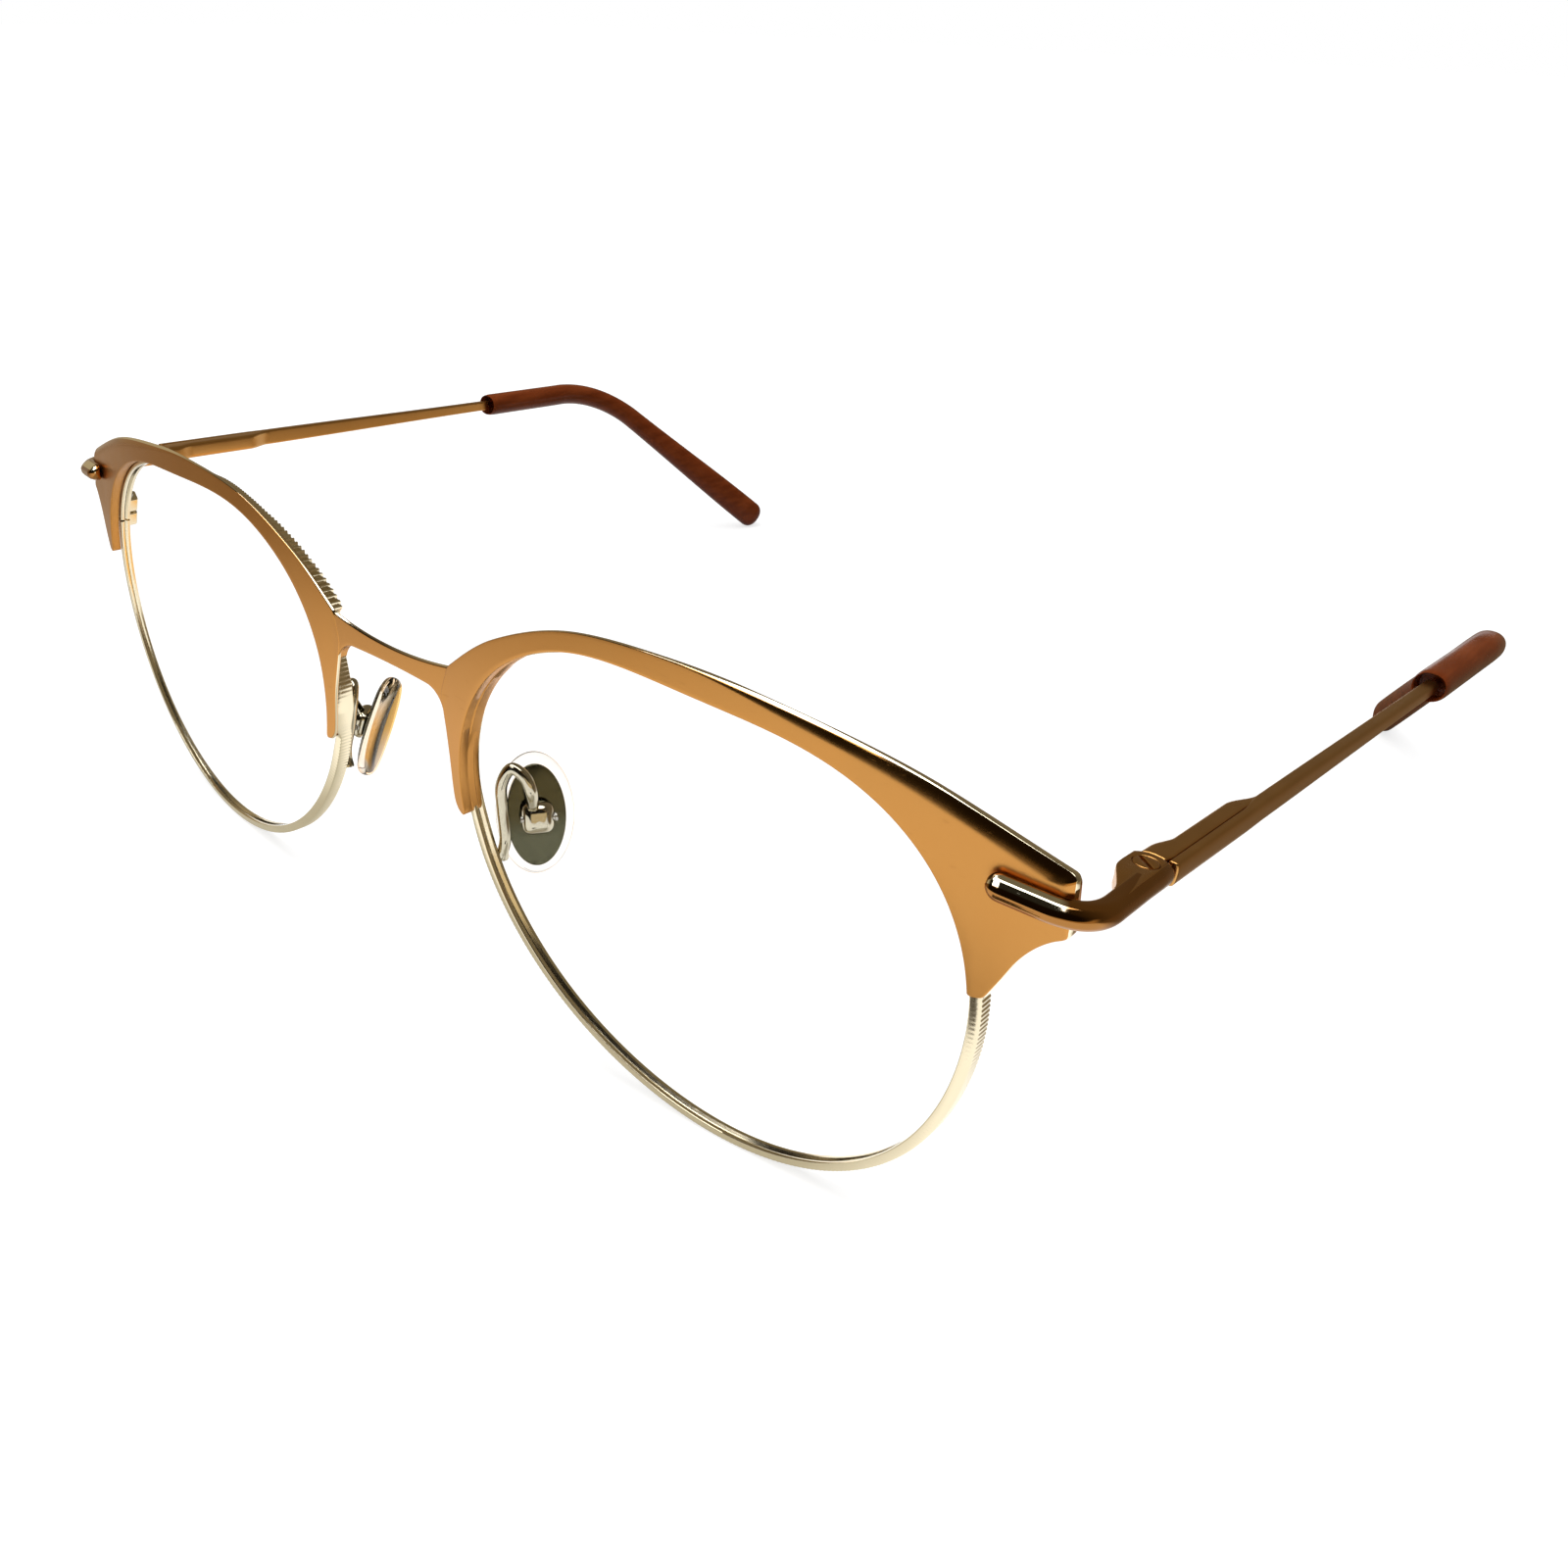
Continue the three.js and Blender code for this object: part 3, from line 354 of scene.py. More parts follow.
def washer(outline: Array, hole: float, low: float, high: float, bevel: float) -> Shell:
    """Plate with a round hole: a loop of rings from the outline over the top, down the hole.

    Args:
        outline: points (m, 2) round the origin; the hole has a point at each one's angle.
        hole: radius of the hole.
        low: height of the lower face.
        high: height of the upper face.
        bevel: radius of the bevel on every edge.

    Returns:
        The skin, closed both ways.
    """
    turn = np.arctan2(outline[:, 1], outline[:, 0])
    ring = around(turn)
    out = np.linalg.norm(outline, axis=1, keepdims=True)
    s, c = arc(4)
    quarter = list(zip(bevel * (1 - s), bevel * (1 - c)))
    rows = [(out - q, high - p) for p, q in quarter]
    rows += [(hole + q, high - p) for p, q in quarter[::-1]]
    rows += [(hole + q, low + p) for p, q in quarter]
    rows += [(out - q, low + p) for p, q in quarter[::-1]]
    rings = [np.hstack([ring * radius, np.full((len(ring), 1), z)]) for radius, z in rows]
    return skin(np.stack(rings), looped=True)


def circle(radius: float, count: int = 40) -> Array:
    """Circle outline, anticlockwise."""
    return bulged(count) * radius


# Where things are


@dataclass(frozen=True)
class RestPose:
    """How the frame lies on the table: turned about X, then shifted."""

    lean: float = -0.07792160199915983
    back: float = -69.25288035869555
    up: float = 24.90470759366257

    def matrix(self) -> Array:
        """Turn about X by the lean."""
        c, s = math.cos(self.lean), math.sin(self.lean)
        return np.array([[1, 0, 0], [0, c, -s], [0, s, c]])

    def place(self, worn: Array) -> Array:
        """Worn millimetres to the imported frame's metres."""
        return (worn @ self.matrix().T + [0, self.back, self.up]) * MILLIMETRE


REST = RestPose()


@dataclass(frozen=True)
class EyeShape:
    """Rim centre line and the curved surface that the whole front follows."""

    centre: float = 36.6
    radius: float = 24.6
    widening: float = 1.5
    skew: float = 1.2
    drop: float = 1.0
    taper: float = 0.4
    squareness: float = 0.4
    tilt: float = math.radians(6)
    wrap: float = math.radians(5.5)
    base_curve: float = 140.0
    wing_reach: float = 5.3
    bridge_low: Span = (158, 3.7)
    bridge_high: Span = (153, 4.1)

    def spread(self, angle: Array) -> Array:
        """Radius R + W cos 2a - S sin 2a + D sin 3a - T cos 3a - Q cos 4a."""
        return (
            self.radius
            + self.widening * np.cos(2 * angle)
            - self.skew * np.sin(2 * angle)
            + self.drop * np.sin(3 * angle)
            - self.taper * np.cos(3 * angle)
            - self.squareness * np.cos(4 * angle)
        )

    def line(self, angle: Array) -> Array:
        """Points (n, 2) of the rim's centre line at angles in radians."""
        r = self.spread(angle)
        return points_of(self.centre + r * np.cos(angle), r * np.sin(angle))

    def outward(self, angle: Array) -> Array:
        """Unit normals (n, 2) of the centre line, away from the eye."""
        step = 1e-3
        tangent = unit(self.line(angle + step) - self.line(angle - step))
        return points_of(tangent[..., 1], -tangent[..., 0])

    def at(self, angle: Array, offset: Array | float) -> Array:
        """Points (n, 2) at an offset out from the centre line."""
        offset = np.asarray(offset, float)[..., None]
        return self.line(angle) + self.outward(angle) * offset

    def at_degrees(self, degrees: float, offset: float) -> Array:
        """One point (2,) by its angle in degrees."""
        return self.at(np.array(math.radians(degrees)), offset)

    def wing(self) -> float:
        """X of the wing's end."""
        return self.line(np.array(0.0))[0] + self.wing_reach

    def crease(self) -> float:
        """X of the crease between bridge and brow."""
        low, high = self.at_degrees(*self.bridge_low), self.at_degrees(*self.bridge_high)
        return float(max(low[0], high[0]))

    def depth(self, x: Array, z: Array) -> Array:
        """Y of the front surface: a tilt in z, a wrap in u, and a dome (u^2 + z^2) / 2R."""
        u = np.maximum(np.abs(x), self.crease()) - self.centre
        dome = (u * u + z * z) / (2 * self.base_curve)
        return -math.tan(self.tilt) * z + math.tan(self.wrap) * u + dome

    def on_front(self, flat: Array, behind: Array | float) -> Array:
        """Flat points (..., 2) raised to worn points at a depth behind the front surface."""
        x, z = flat[..., 0], flat[..., 1]
        return points_of(x, self.depth(x, z) + behind, z)


EYE = EyeShape()


# Finishes


def fill(tree: Tree, node: bpy.types.Node, **inputs: object) -> None:
    """Sets or links inputs of a node.

    Args:
        tree: the node tree.
        node: the node.
        inputs: values or sockets, by the input's name with _ for a space, or by i and its number.
    """
    for key, value in inputs.items():
        counted = key[0] == "i" and key[1:].isdigit()
        target = node.inputs[int(key[1:]) if counted else key.replace("_", " ")]
        if isinstance(value, Socket):
            tree.links.new(value, target)
        else:
            target.default_value = value


def socket_of(tree: Tree, kind: str, out: str | int, **inputs: object) -> Socket:
    """Adds a node to a tree.

    Args:
        tree: the node tree.
        kind: the node's type name.
        out: which output to return.
        inputs: as for fill; names that the node itself has, such as operation, are set on it.

    Returns:
        The output socket.
    """
    node = tree.nodes.new(kind)
    own = {key: value for key, value in inputs.items() if hasattr(node, key)}
    for key, value in own.items():
        setattr(node, key, value)
    fill(tree, node, **{key: value for key, value in inputs.items() if key not in own})
    return node.outputs[out]


def maths(tree: Tree, operation: str, *values: Socket | float) -> Socket:
    """Result of a sum, product or comparison of sockets or numbers."""
    named = {f"i{k}": value for k, value in enumerate(values)}
    return socket_of(tree, "ShaderNodeMath", 0, operation=operation, **named)


def ranged(tree: Tree, value: Socket, source: Span = (0, 1), target: Span = (0, 1)) -> Socket:
    """A value carried from the source range to the target range and held at its ends."""
    (i1, i2), (i3, i4) = source, target
    return socket_of(tree, "ShaderNodeMapRange", 0, i0=value, i1=i1, i2=i2, i3=i3, i4=i4)


def blended(tree: Tree, share: Socket, first: Socket | Colour, second: Socket | Colour) -> Socket:
    """Colour that runs from the first to the second with the share."""
    i6, i7 = (c if isinstance(c, Socket) else (*c, 1) for c in (first, second))
    return socket_of(tree, "ShaderNodeMix", 2, data_type="RGBA", i0=share, i6=i6, i7=i7)


def painted(name: str, **inputs: object) -> tuple[bpy.types.Material, Tree, bpy.types.Node]:
    """New material: itself, its node tree, and its shader with inputs set as by fill."""
    made = bpy.data.materials.new(name)
    made.use_nodes = True
    shader = made.node_tree.nodes["Principled BSDF"]
    fill(made.node_tree, shader, **inputs)
    return made, made.node_tree, shader


class Effects:
    """Shader node groups that several finishes share."""

    def __init__(self) -> None:
        """Builds each group once."""
        self.patina = self._patina()

    def marks(self, tree: Tree, **sizes: float) -> bpy.types.NodeOutputs:
        """Adds the patina to a material, its sizes set, and gives its three outputs."""
        node = tree.nodes.new("ShaderNodeGroup")
        node.node_tree = self.patina
        fill(tree, node, **sizes)
        return node.outputs

    def _patina(self) -> Tree:
        """Handling marks: broad blotches, fine grain and hair scratches.

        Returns:
            A group whose outputs are values from 0 to 1: Blotch is soft noise at Blotch Size,
            Grain is fine noise at Grain Size, and Scratch is the thin crest of a stretched
            noise, 1 on a scratch.
        """
        tree = bpy.data.node_groups.new("patina", "ShaderNodeTree")
        for name, start in (("Blotch Size", 0.004), ("Grain Size", 0.0001)):
            made = tree.interface.new_socket(name, in_out="INPUT", socket_type="NodeSocketFloat")
            made.default_value = start
        for name in ("Blotch", "Grain", "Scratch"):
            tree.interface.new_socket(name, in_out="OUTPUT", socket_type="NodeSocketFloat")
        given = tree.nodes.new("NodeGroupInput")
        result = tree.nodes.new("NodeGroupOutput")
        place = socket_of(tree, "ShaderNodeTexCoord", "Object")
        for word, detail in (("Blotch", 3.0), ("Grain", 2.0)):
            scale = maths(tree, "DIVIDE", 1.0, given.outputs[f"{word} Size"])
            noise = socket_of(
                tree, "ShaderNodeTexNoise", "Fac", Vector=place, Scale=scale, Detail=detail
            )
            fill(tree, result, **{word: noise})
        turn, scale = (0.4, 0.9, 0.3), (300, 4000, 4000)
        tilted = socket_of(tree, "ShaderNodeMapping", 0, Vector=place, Rotation=turn, Scale=scale)
        streak = socket_of(tree, "ShaderNodeTexNoise", "Fac", Vector=tilted, Scale=1.0, Detail=1.0)
        fill(tree, result, Scratch=ranged(tree, streak, (0.71, 0.76)))
        return tree


@dataclass(frozen=True)
class Finish:
    """What a piece is made of: the material's name and the slot in the record."""

    name: str
    slot: str

    def material(self, effects: Effects) -> bpy.types.Material:
        """Builds the material with the shared effects."""
        raise NotImplementedError


@dataclass(frozen=True)
class MetalFinish(Finish):
    """Plated metal: satin where the polish attribute is 0, mirror-like where it is 1."""

    colour: Colour
    shade: Colour
    satin: float
    mirror: float
    blotch: float = 0.004
    grain: float = 0.00012
    bump: float = 0.05
    # Painted highlight: this colour is mixed in over the top of the polish range below, where it
    # stands in for a highlight.
    painted_highlight: Colour | None = None
    painted_glint: Span = (0.88, 0.98)
    uneven: Span = (0.85, 1.15)
    scratched: float = 0.08
    blotched: Span = (0.2, 0.8)

    def material(self, effects: Effects) -> bpy.types.Material:
        """Builds the material.

        Args:
            effects: the shared node groups.

        Returns:
            A metal whose colour runs between colour and shade over the blotches, and whose
            roughness runs from satin to mirror with the polish, uneven over the blotches and
            more on scratches. Over the top of the polish a highlight is painted in: the colour
            runs to the painted highlight colour, if there is one.
        """
        made, tree, shader = painted(self.name, Metallic=1.0)
        sizes = {"Blotch_Size": self.blotch, "Grain_Size": self.grain}
        blotch, grain, scratch = effects.marks(tree, **sizes)
        polish = socket_of(tree, "ShaderNodeAttribute", "Fac", attribute_name="polish")
        tone = blended(tree, blotch, self.shade, self.colour)
        # Painted highlight mixed into the base colour near full polish.
        if self.painted_highlight:
            tone = blended(tree, ranged(tree, polish, self.painted_glint), tone, self.painted_highlight)
        spread = ranged(tree, blotch, self.blotched, self.uneven)
        rough = ranged(tree, polish, target=(self.satin, self.mirror))
        varied = maths(tree, "MULTIPLY", rough, spread)
        worn = maths(tree, "MULTIPLY_ADD", scratch, self.scratched, varied)
        height = maths(tree, "MULTIPLY", grain, maths(tree, "SUBTRACT", 1.0, polish))
        normal = socket_of(
            tree, "ShaderNodeBump", 0, Strength=self.bump, Distance=self.grain / 2, Height=height
        )
        fill(tree, shader, Base_Color=tone, Roughness=worn, Normal=normal)
        return made


@dataclass(frozen=True)
class ClearFinish(Finish):
    """Clear silicone or lens: light passes, a little less where handling has dulled it."""

    ior: float
    roughness: float
    dulling: float
    tint: Colour = WHITE
    density: float = 0.0
    painted_edge_reflection: Colour = WHITE
    edge_reflection_seen: Span = (0.55, 0.85)
    blotched: Span = (0.5, 0.8)

    def material(self, effects: Effects) -> bpy.types.Material:
        """Builds the material.

        Args:
            effects: the shared node groups.

        Returns:
            A transmitting material whose roughness runs up by dulling over the blotches. Where
            it is seen along its surface its colour turns to the edge colour, a reflection painted
            in, and it takes up the tint through its depth where density isn't 0.
        """
        clear = {"Metallic": 0.0, "Transmission_Weight": 1.0, "IOR": self.ior}
        made, tree, shader = painted(self.name, Base_Color=(*WHITE, 1), **clear)
        if self.painted_edge_reflection != WHITE:
            facing = socket_of(tree, "ShaderNodeLayerWeight", "Facing", Blend=0.5)
            share = ranged(tree, facing, self.edge_reflection_seen)
            fill(tree, shader, Base_Color=blended(tree, share, WHITE, self.painted_edge_reflection))
        dulled = (self.roughness, self.roughness + self.dulling)
        blotch = effects.marks(tree)["Blotch"]
        fill(tree, shader, Roughness=ranged(tree, blotch, self.blotched, dulled))
        if self.density:
            soak = socket_of(
                tree, "ShaderNodeVolumeAbsorption", 0, Color=(*self.tint, 1), Density=self.density
            )
            fill(tree, tree.nodes["Material Output"], Volume=soak)
        return made


@dataclass(frozen=True)
class AcetateFinish(Finish):
    """Glossy brown acetate with faint streaks along the temple."""

    colour: Colour
    streak: Colour
    roughness: float
    gloss: float = 0.06
    blotch: float = 0.006
    streak_scale: Triple = (900, 110, 900)
    streaked: Span = (0.35, 0.7)
    uneven: Span = (0.8, 1.3)
    blotched: Span = (0.3, 0.7)

    def material(self, effects: Effects) -> bpy.types.Material:
        """Builds the material.

        Args:
            effects: the shared node groups.

        Returns:
            A coated plastic whose colour runs between colour and streak.
        """
        coat = {"Coat_Weight": self.gloss, "Coat_Roughness": self.gloss}
        made, tree, shader = painted(
            self.name, Metallic=0.0, Specular_IOR_Level=self.gloss, **coat
        )
        place = socket_of(tree, "ShaderNodeTexCoord", "Object")
        drawn = socket_of(tree, "ShaderNodeMapping", 0, Vector=place, Scale=self.streak_scale)
        streaks = socket_of(tree, "ShaderNodeTexNoise", "Fac", Vector=drawn, Scale=1.0, Detail=3.0)
        tone = blended(tree, ranged(tree, streaks, self.streaked), self.colour, self.streak)
        blotch = effects.marks(tree, Blotch_Size=self.blotch)["Blotch"]
        low, high = self.uneven
        uneven = (self.roughness * low, self.roughness * high)
        rough = ranged(tree, blotch, self.blotched, uneven)
        fill(tree, shader, Base_Color=tone, Roughness=rough)
        return made


# The pale last colours of the satin and bar golds are painted highlights, not the metal's own colour.
SATIN_GOLD = MetalFinish(
    "satin_gold", "satin_gold", (0.56, 0.27, 0.072), (0.48, 0.22, 0.055), 0.33, 0.06,
    painted_highlight=(0.92, 0.82, 0.6),
)
BAR_GOLD = MetalFinish(
    "bar_gold", "polished_gold", (0.36, 0.165, 0.045), (0.31, 0.14, 0.038), 0.27, 0.05, bump=0.02,
    painted_highlight=(0.95, 0.88, 0.66),
)
HINGE_GOLD = MetalFinish(
    "hinge_gold", "polished_gold", (0.55, 0.29, 0.09), (0.46, 0.23, 0.07), 0.28, 0.1
)
TEMPLE_GOLD = MetalFinish(
    "temple_gold", "satin_gold", (0.56, 0.30, 0.095), (0.48, 0.25, 0.075), 0.3, 0.1
)
SILVER = MetalFinish(
    "silver", "silver", (0.80, 0.70, 0.50), (0.70, 0.62, 0.44), 0.2, 0.1, bump=0.02
)
BRIGHT_SILVER = MetalFinish(
    "bright_silver", "silver", (0.52, 0.48, 0.37), (0.45, 0.41, 0.31), 0.05, 0.04, bump=0.01
)
STEEL = MetalFinish("turned_steel", "steel", (0.56, 0.55, 0.52), (0.48, 0.47, 0.45), 0.22, 0.1)
# The pad's silver core plate is given a near-black colour: a painted dark reflection, as it looks
# through the pad.
SHADE_PAINTED_PLATE = MetalFinish(
    "shade_painted_plate", "silver", (0.088, 0.085, 0.05), (0.072, 0.07, 0.042), 0.12, 0.1, bump=0.02
)
LENS_CLEAR = ClearFinish("clear_lens", "clear_lens", 1.03, 0.0, 0.004)
# The silicone's amber edge colour and amber soak through its depth are painted reflection of the gold
# front, seen in and through the clear pad.
SILICONE = ClearFinish(
    "clear_silicone", "clear_silicone", 1.42, 0.02, 0.04, (0.97, 0.72, 0.35), 80.0, (0.8, 0.42, 0.1)
)
BROWN_ACETATE = AcetateFinish(
    "brown_acetate", "brown_tip", (0.13, 0.023, 0.004), (0.19, 0.038, 0.008), 0.24
)


def into_scene(name: str, data: bpy.types.ID) -> bpy.types.Object:
    """New object in the scene, at the origin."""
    made = bpy.data.objects.new(name, data)
    bpy.context.scene.collection.objects.link(made)
    return made


class Workshop:
    """Turns shells into finished pieces that ride on the frame."""

    def __init__(self) -> None:
        """Sets up the shared effects and an empty shelf of materials."""
        self.effects = Effects()
        self.shelf: dict[str, bpy.types.Material] = {}

    def material(self, finish: Finish) -> bpy.types.Material:
        """The finish's material, made on first use."""
        if finish.name not in self.shelf:
            self.shelf[finish.name] = finish.material(self.effects)
        return self.shelf[finish.name]

    def piece(
        self,
        name: str,
        shells: list[Shell],
        finish: Finish,
        body: str,
        nodes: list[str],
        side: Side = Side.LEFT,
    ) -> bpy.types.Object:
        """Makes one piece from worn-frame shells.

        Args:
            name: the object's name.
            shells: skins of the left piece.
            finish: what it is made of.
            body: the body that it rides on.
            nodes: the frame's nodes that it stands for.
            side: which side it is for; the right one is mirrored in X.

        Returns:
            The object, at the origin.
        """
        points, faces, polish, start = [], [], [], 0
        for shell in shells:
            placed = shell.moved(REST.place(shell.points) * [side.value, 1, 1])
            points.append(placed.points)
            faces += (placed.quads + start).tolist() + (placed.triangles + start).tolist()
            polish.append(placed.polish)
            start += len(placed.points)
        mesh = bpy.data.meshes.new(name)
        mesh.from_pydata(np.vstack(points).tolist(), [], faces)
        shine = mesh.attributes.new("polish", "FLOAT", "POINT")
        shine.data.foreach_set("value", np.concatenate(polish))
        mesh.shade_smooth()
        mesh.set_sharp_from_angle(angle=SHARP_EDGE)
        made = into_scene(name, mesh)
        made.data.materials.append(self.material(finish))
        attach(made, body)
        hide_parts(*nodes)
        LOG.info("%s: %d points", name, start)
        return made

    def sided(
        self, side: Side, name: str, shells: list[Shell], finish: Finish, body: str, node: str
    ) -> bpy.types.Object:
        """Makes a piece of one side; the names, other than front, are given without the side."""
        rider = body if body == "front" else side.named(body)
        return self.piece(side.named(name), shells, finish, rider, [side.named(node)], side)

    def dress_node(self, node: str, finish: Finish) -> None:
        """Gives a frame node that stays visible its finish."""
        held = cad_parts[node].data
        held.materials.clear()
        held.materials.append(self.material(finish))


# Sub-assemblies


@dataclass
class BrowFront:
    """Stamped sheet: two brows with nasal and temporal legs, and the bridge between them."""

    sheet: float = 1.2
    overhang: float = 0.15
    nasal: Points = ((180.8, 0.3), (180.0, 0.62), (177.5, 0.95), (168, 1.4))
    sag: float = 0.8
    arch: float = 0.3
    root: float = 1.4
    top: Points = ((140, 2.2), (121, 1.6), (96, 2.1), (70, 2.1), (47, 3.7))
    wing_top: float = 17.1
    wing_bottom: float = 12.3
    wing_slant: float = 0.5
    hollow: Points = ((-0.75, 12.0), (-1.85, 11.0), (-2.85, 9.5), (-3.65, 7.5))
    temporal_end: Span = (11.5, 1.1)
    fan: Triple = (149, 30, 22)
    steps: tuple[int, ...] = (60, 16, 300, 50, 80)
    inset: float = 0.02
    bridge_inset: float = 0.05
    bevel: float = 0.12
    bevel_steps: int = 7
    flat_steps: int = 8
    corner: float = 0.3
    corner_draw: float = 0.9
    fillet: float = 2.6
    fillet_run: Span = (0.77, 0.97)
    bridge_steps: int = 241
    shoulder_nose: float = 0.12
    shoulder_wing: float = 1.9
    shoulder_steep: float = 35.0
    shoulder_run: Span = (0.45, 1.05)
    shoulder_steps: int = 12
    facet: float = 0.3
    facet_least: float = 0.1
    facet_edge: float = 0.1
    facet_step: float = 7
    facet_tilt: tuple[float, ...] = (39, 46, 53, 60, 67, 74, 81, 88)
    facet_at: int = 3
    facet_grow: Span = (0.6, 0.08)
    bevel_share: float = 0.3
    shoulder_share: float = 0.4
    back_bevel: float = 0.08
    flange_bevel: float = 0.06
    shoulder_polish: float = 0.86
    polish_run: Span = (0.25, 0.9)
    edge_polish: float = 0.8
    back_polish: float = 0.2
    edge_least: float = 0.1
    thin: float = 0.85
    thin_from: Span = (24, 40)
    flange: Run = (116, 138, 182, 190)
    flange_deep: float = 1.3
    flange_thick: float = 0.17
    flange_over: float = 0.2
    flange_edge: float = 0.97
    groove: float = 0.13
    groove_line: Points = ((0.16, -0.08), (0.05, -0.1), (-0.08, -0.12))

    def outline(self) -> tuple[Array, Array, Array, Array, Array]:
        """Edges of one brow, from the nasal leg over the top to the temporal leg.

        Returns:
            Inner edge (n, 2), outer edge (n, 2) with rounded corners, the width (n) of the
            polished shoulder along the outer edge, how much thinner (n) the sheet is there, and
            how deep (n) the flange behind the inner edge is.
        """
        low, high = EYE.at_degrees(*EYE.bridge_low), EYE.at_degrees(*EYE.bridge_high)
        wing_x = EYE.wing()
        upper = np.array([wing_x - self.wing_slant, self.wing_top])
        lower = np.array([wing_x, self.wing_bottom])
        nasal = [*(EYE.at_degrees(*spot) for spot in self.nasal), low]
        crown = [high, *(EYE.at_degrees(*spot) for spot in self.top), upper]
        under = [np.array([wing_x + x, z]) for x, z in self.hollow]
        hollow = [lower, *under, EYE.at_degrees(*self.temporal_end)]
        bridge, wing, tail = self.fan
        narrow, nose, wide = self.bevel, self.shoulder_nose, self.shoulder_wing
        # Points, first and last angle, shoulder at the start and at the end.
        runs = [
            (nasal, self.nasal[0][0], EYE.bridge_low[0], narrow, narrow),
            ([low, high], EYE.bridge_low[0], bridge, narrow, nose),
            (crown, bridge, wing, nose, wide),
            ([upper, lower], wing, tail, wide / 2, narrow),
            (hollow, tail, self.temporal_end[0], narrow, narrow),
        ]
        inner, outer, shoulder, thin, flange = [], [], [], [], []
        for (points, start, end, width, next_width), count in zip(runs, self.steps):
            t = both_ends(count)[1 if outer else 0 :]
            degrees = start + (end - start) * t
            outer.append(even_spline(np.array(points), t))
            folded = stretch(degrees, self.flange)
            inner.append(EYE.at(np.radians(degrees), -self.overhang - self.flange_over * folded))
            flange.append(self.flange_deep * folded)
            shoulder.append(width + (next_width - width) * ease(t, *self.shoulder_run))
            thin.append(self.thin * ease(degrees, *self.thin_from))
        edge = soften(np.column_stack([np.vstack(outer), np.concatenate(shoulder)]), self.corner)
        thin, flange = np.concatenate(thin), np.concatenate(flange)
        return np.vstack(inner), edge[:, :2], edge[:, 2], thin, flange

    def strip(
        self, inner: Array, outer: Array, shoulder: Array, thin: Array, flange: Array, half: float
    ) -> Shell:
        """Bent sheet between two edges, with bevels and a rounded shoulder along the outer one.

        Args:
            inner: lower or lens-side edge (n, 2).
            outer: upper or outer edge (n, 2).
            shoulder: width (n) of the shoulder on the front of the outer edge.
            thin: how much (n) the back is cut away at the outer edge.
            flange: how far (n) a thin flange reaches back from the inner edge.
            half: half the sheet's thickness.

        Returns:
            The skin. The shoulder falls away as a parabola, slope * u^2 / 2w. From there short
            steps of growing slope, with one long facet at 60 degrees among them, carry it on
            to the top; the other edges have quarter-round bevels. A fine groove marks where
            the flange leaves the sheet.
        """
        wide = np.linalg.norm(outer - inner, axis=1, keepdims=True)
        way = (outer - inner) / wide
        bevel = np.minimum(self.bevel, self.bevel_share * wide)
        soft = np.minimum(shoulder[:, None], self.shoulder_share * wide)
        steep = math.radians(self.shoulder_steep)
        tilt, (share, least) = np.radians(self.facet_tilt), self.facet_grow
        short = self.facet_edge * math.radians(self.facet_step)
        long = np.clip(share * soft + least, self.facet_least, self.facet)
        length = np.full((len(inner), tilt.size), short)
        length[:, self.facet_at] = long[:, 0]
        rise, sink = (np.cumsum(length * part, axis=1) for part in (np.cos(tilt), np.sin(tilt)))
        edge = soft + rise[:, -1:]
        fall = math.tan(steep) * soft / 2
        furthest = -half + fall + sink[:, -1:] + self.edge_least
        outer_back = np.maximum(half - thin[:, None], furthest)
        s, c = arc(self.bevel_steps)
        back_bevel = np.minimum(bevel, self.back_bevel)
        flange_bevel = np.minimum(bevel, self.flange_bevel)
        ramp = np.linspace(0, 1, self.flat_steps)[1:-1]
        slope = np.linspace(0, 1, self.shoulder_steps)
        n, thick, reach = len(inner), self.flange_thick, flange[:, None]
        held = reach / self.flange_deep
        dent = np.hstack([grow * held + level for grow, level in self.groove_line])
        rows = [
            (bevel * (1 - c), -half + bevel * (1 - s), 0 * c),
            (bevel + (wide - edge - bevel) * ramp, np.full((n, ramp.size), -half), 0 * ramp),
            (
                wide - edge + soft * slope,
                -half + fall * slope**2,
                self.shoulder_polish * ease(slope, *self.polish_run),
            ),
            # Painted highlight: the facet rows get full polish, where the finish paints in its
            # highlight colour.
            (wide - edge + soft + rise, -half + fall + sink, 1 + 0 * tilt),
            (
                wide - back_bevel * (1 - c),
                outer_back - back_bevel * (1 - s),
                self.edge_polish + 0 * c,
            ),
            (
                wide - bevel + (bevel + thick - wide) * ramp,
                outer_back + (half - outer_back) * ramp,
                self.back_polish + 0 * ramp,
            ),
            (np.full((n, 2), thick), half + reach * [0, self.flange_edge], np.zeros(2)),
            (flange_bevel * (1 - s), half + reach - flange_bevel * (1 - c), 0 * c),
            (np.hstack([0 * held, self.groove * held, 0 * held]), half + dent, np.zeros(3)),
        ]
        across, depth, shine = (np.hstack(part) for part in zip(*rows))
        flat = inner[:, None] + way[:, None] * across[..., None]
        return skin(EYE.on_front(flat, depth), polish=shine)

    def brow(self) -> Shell:
        """One brow, its leg ends rounded: near an end both edges draw in along a circle."""
        inner, outer, shoulder, thin, flange = self.outline()
        along = distances((inner + outer) / 2)
        left = np.clip(np.minimum(along, along[-1] - along), 0, self.corner)
        inset = self.corner - np.sqrt(self.corner**2 - (self.corner - left) ** 2)
        way = unit(outer - inner) * (self.corner_draw * inset)[:, None]
        half = self.sheet / 2 - self.inset
        return self.strip(inner + way, outer - way, shoulder, thin, flange, half)

